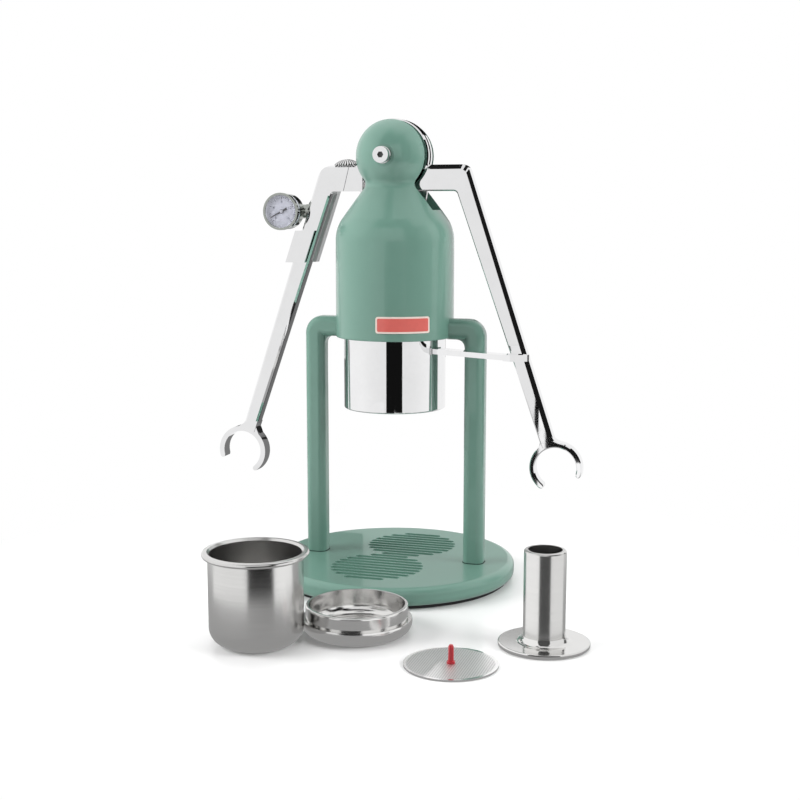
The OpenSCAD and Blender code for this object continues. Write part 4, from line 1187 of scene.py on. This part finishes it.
    def _hub(self) -> Shell:
        """The round hub with its bore, rear of the arm's middle.

        Returns:
            The points and the faces.
        """
        turn = np.linspace(0.0, 2.0 * np.pi, self.hub_steps, endpoint=False)
        outward = np.stack([np.cos(turn), np.sin(turn), np.zeros_like(turn)], axis=1)
        profile = np.array([[self.bore_r, self.hub_gap], [self.bore_r, self.half],
                            [self.hub_r - self.hub_edge, self.half], [self.hub_r, self.half - self.hub_edge],
                            [self.hub_r, self.hub_gap]])
        flat, faces = loop_mesh(np.zeros_like(outward), outward, profile)
        return np.stack([flat[:, 0], -flat[:, 2], flat[:, 1] + self.axle_z], axis=1), faces

    def shells(self) -> Shell:
        """All shells of the arm.

        Returns:
            The points in metres and the faces.
        """
        forearm = bar_mesh(*self._paths(), (-self.half, self.half), self.face_cut, self.edge_cut)
        points, faces = join_meshes([forearm, *self._bar(), self._hub(), *self._claw()])
        return points * MM, faces


@dataclass
class Assembly:
    """A named group of CAD nodes with their finishes, and a way to add pieces to it."""

    wardrobe: Wardrobe

    def finishes(self) -> Dict[str, Finish]:
        """The finish of each CAD node in the group."""
        return {}

    def dress(self) -> None:
        """Puts the finishes into the CAD nodes' material slots."""
        for name, finish in self.finishes().items():
            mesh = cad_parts[name].data
            material = self.wardrobe.get(finish)
            if not mesh.materials:
                mesh.materials.append(material)
            for index in range(len(mesh.materials)):
                mesh.materials[index] = material
        LOG.info("dressed %s: %s", type(self).__name__, ", ".join(self.finishes()))

    def piece(self, name: str, points: np.ndarray, faces: Faces, finish: Finish, body: str, slot: str,
              smooth: bool = False) -> bpy.types.Object:
        """Makes one piece and lets it ride on a body.

        Args:
            name: the piece's name.
            points: its points in the frame.
            faces: its faces as point numbers.
            finish: its finish.
            body: the body it moves with.
            slot: not used.
            smooth: whether its faces are shaded smooth, apart from sharp edges.

        Returns:
            The new object.
        """
        mesh = bpy.data.meshes.new(name)
        corners = faces.tolist() if isinstance(faces, np.ndarray) else faces
        mesh.from_pydata(points.tolist(), [], corners)
        shell = bmesh.new()
        shell.from_mesh(mesh)
        bmesh.ops.recalc_face_normals(shell, faces=shell.faces)
        shell.to_mesh(mesh)
        shell.free()
        mesh.materials.append(self.wardrobe.get(finish))
        mesh.polygons.foreach_set("use_smooth", np.full(len(mesh.polygons), smooth))
        if smooth:
            mesh.set_sharp_from_angle(angle=SHARP_ANGLE)
        thing = add_object(name, mesh)
        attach(thing, body)
        LOG.info("piece %s on %s: %d faces", name, body, len(mesh.polygons))
        return thing

    def soften(self, thing: bpy.types.Object, width: float) -> None:
        """Adds a small rounded edge to a piece.

        Args:
            thing: the piece.
            width: the width of the rounding.
        """
        edge = thing.modifiers.new("edge", "BEVEL")
        edge.width = width
        edge.segments = 2
        edge.limit_method = "ANGLE"
        edge.angle_limit = BEVEL_ANGLE

    def pieces(self) -> None:
        """Builds the group's own pieces."""

    def build(self) -> None:
        """Dresses the nodes and builds the pieces."""
        self.dress()
        self.pieces()


@dataclass
class FootPlate(Assembly):
    """Foot plate with pads and underlay, two legs, and a painted shadow line at the joint round each leg's
    foot.
    """

    leg_x: float = 56.0 * MM
    leg_half: float = 6.9 * MM
    leg_round: float = 4.8 * MM
    top: float = 14.0 * MM
    line: float = 0.5 * MM

    def finishes(self) -> Dict[str, Finish]:
        """The finishes of the foot plate and legs."""
        return {"base_plate": ENAMEL, "leg_left": ENAMEL, "leg_right": ENAMEL, "foot_mat": RUBBER,
                "base_screws": STEEL_FINE}

    def pieces(self) -> None:
        """A thin near-black bead round each leg where it stands on the plate: painted shadow of the joint."""
        turn = np.linspace(0.0, 2.0 * np.pi, 96, endpoint=False) + 1e-4
        outward = np.stack([np.cos(turn), np.sin(turn), np.zeros(96)], axis=1)
        profile = self.line * np.array([[-0.1, 0.0], [1.0, 0.0], [0.8, 0.35], [0.2, 0.9], [-0.1, 0.9]])
        corner = np.sign(outward) * (self.leg_half - self.leg_round)
        for side, name in ((-1.0, "left_leg_line"), (1.0, "right_leg_line")):
            path = corner + outward * self.leg_round + np.array([side * self.leg_x, 0.0, self.top])
            points, faces = loop_mesh(path, outward, profile)
            # painted shadow along the joint between leg and plate
            self.piece(name, points, faces, GAP_SHADOW, "frame", "enamel", smooth=True)


@dataclass
class Body(Assembly):
    """Body shell with its bushes, ring and axle, and the bare badge plate."""

    radius: float = 39.5 * MM
    axle_z: float = 285.0 * MM
    badge_azimuth: float = -65.0
    badge_span: float = 52.5
    badge_low: float = 171.2 * MM
    badge_high: float = 182.0 * MM
    corner: float = 1.6 * MM
    border: float = 1.15 * MM
    plate_t: float = 0.55 * MM
    plate_back: float = -0.3 * MM
    plate_edge: float = 0.18 * MM
    field_back: float = 0.1 * MM
    field_rise: float = 0.12 * MM
    field_edge: float = 0.08 * MM
    well_in: float = 2.2 * MM
    well_mm: Tuple[Span, ...] = ((0.0, 0.0), (2.1, 0.0), (2.1, 0.25), (1.9, 0.4), (0.0, 0.45))

    def finishes(self) -> Dict[str, Finish]:
        """The finishes of the body and of what it holds."""
        steel = ("bayonet_ring", "axle_washer_front", "axle_washer_rear", "axle_nut", "hub_spacer",
                 "cheek_spacers")
        return {"body_shell": ENAMEL, "guide_bush": BRONZE, "axle_bolt": CHROME,
                **dict.fromkeys(steel, STEEL_FINE)}

    def _patch(self, inset: float, corner: float, height: float) -> np.ndarray:
        """A rounded rectangle bent round the body.

        Each level's half width is cut back by a quarter circle near the upper and lower edge.

        Args:
            inset: how far it lies inside the plate's outline.
            corner: its corner radius.
            height: how far it stands above the body.

        Returns:
            A grid of points.
        """
        half_long = 0.5 * math.radians(self.badge_span) * self.radius - inset
        half_high = 0.5 * (self.badge_high - self.badge_low) - inset
        ease = corner * (1.0 - np.cos(np.linspace(0.0, 0.5 * np.pi, 6)))
        levels = np.concatenate([ease, (2.0 * half_high - ease)[::-1]])
        near = np.minimum(levels, 2.0 * half_high - levels)
        drop = np.clip(corner - near, 0.0, corner)
        width = half_long - corner + np.sqrt(np.maximum(corner ** 2 - drop ** 2, 0.0))
        along = np.linspace(-1.0, 1.0, 49)[None, :] * width[:, None]
        turn = math.radians(self.badge_azimuth) + along / self.radius
        out = self.radius + height
        rise = np.repeat((0.5 * (self.badge_low + self.badge_high) - half_high + levels)[:, None], 49, axis=1)
        return np.stack([out * np.cos(turn), out * np.sin(turn), rise], axis=2)

    def _badge(self) -> None:
        """The badge plate and its coloured field, both bare."""
        outline = self._patch(0.0, self.corner, self.plate_t)
        points, faces = slab_mesh(outline, self._patch(0.0, self.corner, self.plate_back))
        self.soften(self.piece("badge_plate", points, faces, BADGE_EDGE, "frame", "enamel"), self.plate_edge)
        inner = self.corner - 0.6 * self.border
        field_front = self._patch(self.border, inner, self.plate_t + self.field_rise)
        points, faces = slab_mesh(field_front, self._patch(self.border, inner, self.field_back))
        self.soften(self.piece("badge_field", points, faces, BADGE_RED, "frame", "plug_red"), self.field_edge)

    def pieces(self) -> None:
        """The badge, and a near-black six-sided disc at the bottom of the axle's socket, painted shade in the
        recess.
        """
        self._badge()
        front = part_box("axle_bolt")[0][1]
        points, faces = lathe_mesh(np.array(self.well_mm) * MM, 6)
        depth = front + self.well_in - points[:, 2]
        turned = np.stack([points[:, 0], depth, points[:, 1] + self.axle_z], axis=1)
        # painted shade: the near-black disc stands in for the shade inside the socket
        self.piece("socket_well", turned, faces, SOCKET_SHADE, "frame", "chrome")


@dataclass
class Arms(Assembly):
    """Both arms with their hubs, links and pins, and the crosshead with its piston."""

    shape: ArmShape = ArmShape()
    seam_x: float = -32.4 * MM
    seam_lean: float = 14.0
    seam_half: float = 0.16 * MM
    seam_inset: float = 0.5 * MM
    seam_span: Span = (0.03 * MM, -0.2 * MM)

    def finishes(self) -> Dict[str, Finish]:
        """The finishes of the arms and the inner mechanism."""
        bright = ("right_arm", "left_arm", "left_arm_root", "piston_rod")
        inner = ("right_link_pin", "left_link_pin", "right_link", "left_link", "right_foot_pin",
                 "left_foot_pin", "crosshead", "piston_head", "piston_nut")
        return {**dict.fromkeys(bright, CHROME), **dict.fromkeys(inner, STEEL_FINE), "right_hub_bush": BRONZE,
                "left_hub_bush": BRONZE, "piston_seal": RUBBER, "thumb_screw": KNURLED}

    def pieces(self) -> None:
        """The right arm with its wide bevel, and a painted shade line along the left arm's seam, front and
        back.
        """
        points, faces = self.shape.shells()
        arm = self.piece("right_arm_bevelled", points, faces, CHROME, "right_arm_body", "chrome", smooth=True)
        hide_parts("right_arm")
        low, high = self.shape.bar_bot * MM, self.shape.bar_up * MM
        rise = np.linspace(low + self.seam_inset, high - self.seam_inset, 12)
        centre = self.seam_x + math.tan(math.radians(self.seam_lean)) * (rise - 0.5 * (low + high))
        across = np.stack([centre - self.seam_half, centre + self.seam_half], axis=1)
        tall = np.repeat(rise[:, None], 2, axis=1)
        # painted shade: a near-black line darkens the seam on the front and back faces
        for name, side in (("seam_line_front", -1.0), ("seam_line_back", 1.0)):
            depths = sorted(side * (self.shape.half * MM + lift) for lift in self.seam_span)
            grids = [np.stack([across, np.full_like(across, depth), tall], axis=2) for depth in depths]
            points, faces = slab_mesh(*grids)
            self.piece(name, points, faces, INK_AND_SEAM_SHADE, "left_arm_body", "ink")


@dataclass
class GaugeSet(Assembly):
    """Clamp, pipe and pressure gauge on the left arm, with the printed marks of the dial."""

    centre: Span = (-75.106 * MM, 248.95 * MM)
    face: float = -13.8 * MM
    sweep: Span = (225.0, -45.0)
    divisions: int = 32
    long_every: int = 4
    full_scale: int = 16
    mark_out: float = 9.6 * MM
    long_in: float = 7.9 * MM
    short_in: float = 8.7 * MM
    long_half: float = 0.16 * MM
    short_half: float = 0.09 * MM
    print_t: float = 0.09 * MM
    number_r: float = 6.3 * MM
    number_size: float = 2.5 * MM
    hub_mm: Tuple[Span, ...] = ((0.0, 0.0), (1.15, 0.0), (1.15, 0.25), (0.95, 0.45), (0.0, 0.5))
    hub_lift: float = 0.8 * MM

    def finishes(self) -> Dict[str, Finish]:
        """The finishes of the gauge and what carries it."""
        plated = dict.fromkeys(("gauge_stem", "gauge_case", "gauge_bezel"), GAUGE_METAL)
        return {"gauge_clamp": CHROME, "clamp_screws": STEEL_FINE, "pressure_pipe": PIPE, **plated,
                "gauge_dial": DIAL, "gauge_lens": GLASS, "gauge_needle": INK_AND_SEAM_SHADE}

    def _place(self, points: np.ndarray) -> np.ndarray:
        """Stands flat points with x right, y up and z forward on the dial's face.

        Args:
            points: points about the dial's centre.

        Returns:
            The points in the frame.
        """
        across, up = self.centre
        return np.stack([across + points[:, 0], self.face - points[:, 2], up + points[:, 1]], axis=1)

    def _marks(self) -> Shell:
        """All scale marks as thin slabs, every fourth one longer and wider.

        Returns:
            The points and the faces.
        """
        turns = np.radians(np.linspace(*self.sweep, self.divisions + 1))
        index = np.arange(self.divisions + 1)
        major = index % self.long_every == 0
        inner = np.where(major, self.long_in, self.short_in)
        outer = np.full_like(inner, self.mark_out)
        half = np.where(major, self.long_half, self.short_half)
        along = np.stack([np.cos(turns), np.sin(turns)], axis=1)
        across = np.stack([-np.sin(turns), np.cos(turns)], axis=1)
        ends = ((inner, -1.0), (outer, -1.0), (outer, 1.0), (inner, 1.0))
        flat = np.stack([along * reach[:, None] + across * (side * half)[:, None] for reach, side in ends],
                        axis=1)
        both = np.concatenate([np.concatenate([flat, np.full(flat.shape[:2] + (1,), z)], axis=2)
                               for z in (0.0, self.print_t)], axis=1)
        box = np.array([[4, 5, 6, 7], [3, 2, 1, 0], [0, 1, 5, 4], [1, 2, 6, 5], [2, 3, 7, 6], [3, 0, 4, 7]])
        faces = (index[:, None, None] * 8 + box[None]).reshape(-1, 4)
        return self._place(both.reshape(-1, 3)), faces

    def _number(self, value: int) -> Tuple[np.ndarray, List[List[int]]]:
        """One printed number of the scale.

        Args:
            value: the number.

        Returns:
            The points on the dial and the faces.
        """
        curve = bpy.data.curves.new("number", "FONT")
        curve.body = str(value)
        curve.size = self.number_size
        curve.extrude = 0.5 * self.print_t
        curve.align_x = "CENTER"
        curve.align_y = "CENTER"
        thing = add_object("number", curve)
        bpy.context.view_layer.update()
        mesh = thing.evaluated_get(bpy.context.evaluated_depsgraph_get()).to_mesh()
        flat = np.empty(len(mesh.vertices) * 3)
        mesh.vertices.foreach_get("co", flat)
        faces = [list(face.vertices) for face in mesh.polygons]
        bpy.data.objects.remove(thing)
        bpy.data.curves.remove(curve)
        turn = math.radians(self.sweep[0] + (self.sweep[1] - self.sweep[0]) * value / self.full_scale)
        place = np.array([self.number_r * math.cos(turn), self.number_r * math.sin(turn), 0.5 * self.print_t])
        return self._place(flat.reshape(-1, 3) + place), faces

    def pieces(self) -> None:
        """The marks, the numbers and the light hub of the needle."""
        points, faces = self._marks()
        self.piece("dial_marks", points, faces, TICK, "left_arm_body", "ink")
        for value in range(0, self.full_scale + 1, 4):
            points, faces = self._number(value)
            self.piece("dial_number_%d" % value, points, faces, TICK, "left_arm_body", "ink")
        points, faces = lathe_mesh(np.array(self.hub_mm) * MM, 40)
        points[:, 2] += self.hub_lift
        self.piece("needle_hub", self._place(points), faces, HUB_PAINT, "needle", "dial")


@dataclass
class Holder(Assembly):
    """Holder shell with its handle and the handle's end cap."""

    def finishes(self) -> Dict[str, Finish]:
        """The finishes of the holder."""
        plated = dict.fromkeys(("holder_shell", "holder_handle", "handle_cap"), CHROME)
        return {**plated, "handle_screws": STEEL_FINE}


@dataclass
class LooseSet(Assembly):
    """Basket, spout bowl, screen with its plug, and tamper."""

    def finishes(self) -> Dict[str, Finish]:
        """The finishes of the loose pieces."""
        return {"basket": STEEL, "spout_bowl": SATIN, "screen_disc": PUNCHED, "screen_plug": RED,
                "tamper_base": POLISHED, "tamper_tube": STEEL}


def main() -> None:
    """Builds the studio, then each group of the object in order."""
    logging.basicConfig(level=logging.INFO, format="%(message)s")
    Studio().build()
    wardrobe = Wardrobe()
    for group in (FootPlate, Body, Arms, GaugeSet, Holder, LooseSet):
        group(wardrobe).build()


if __name__ == "__main__":
    main()
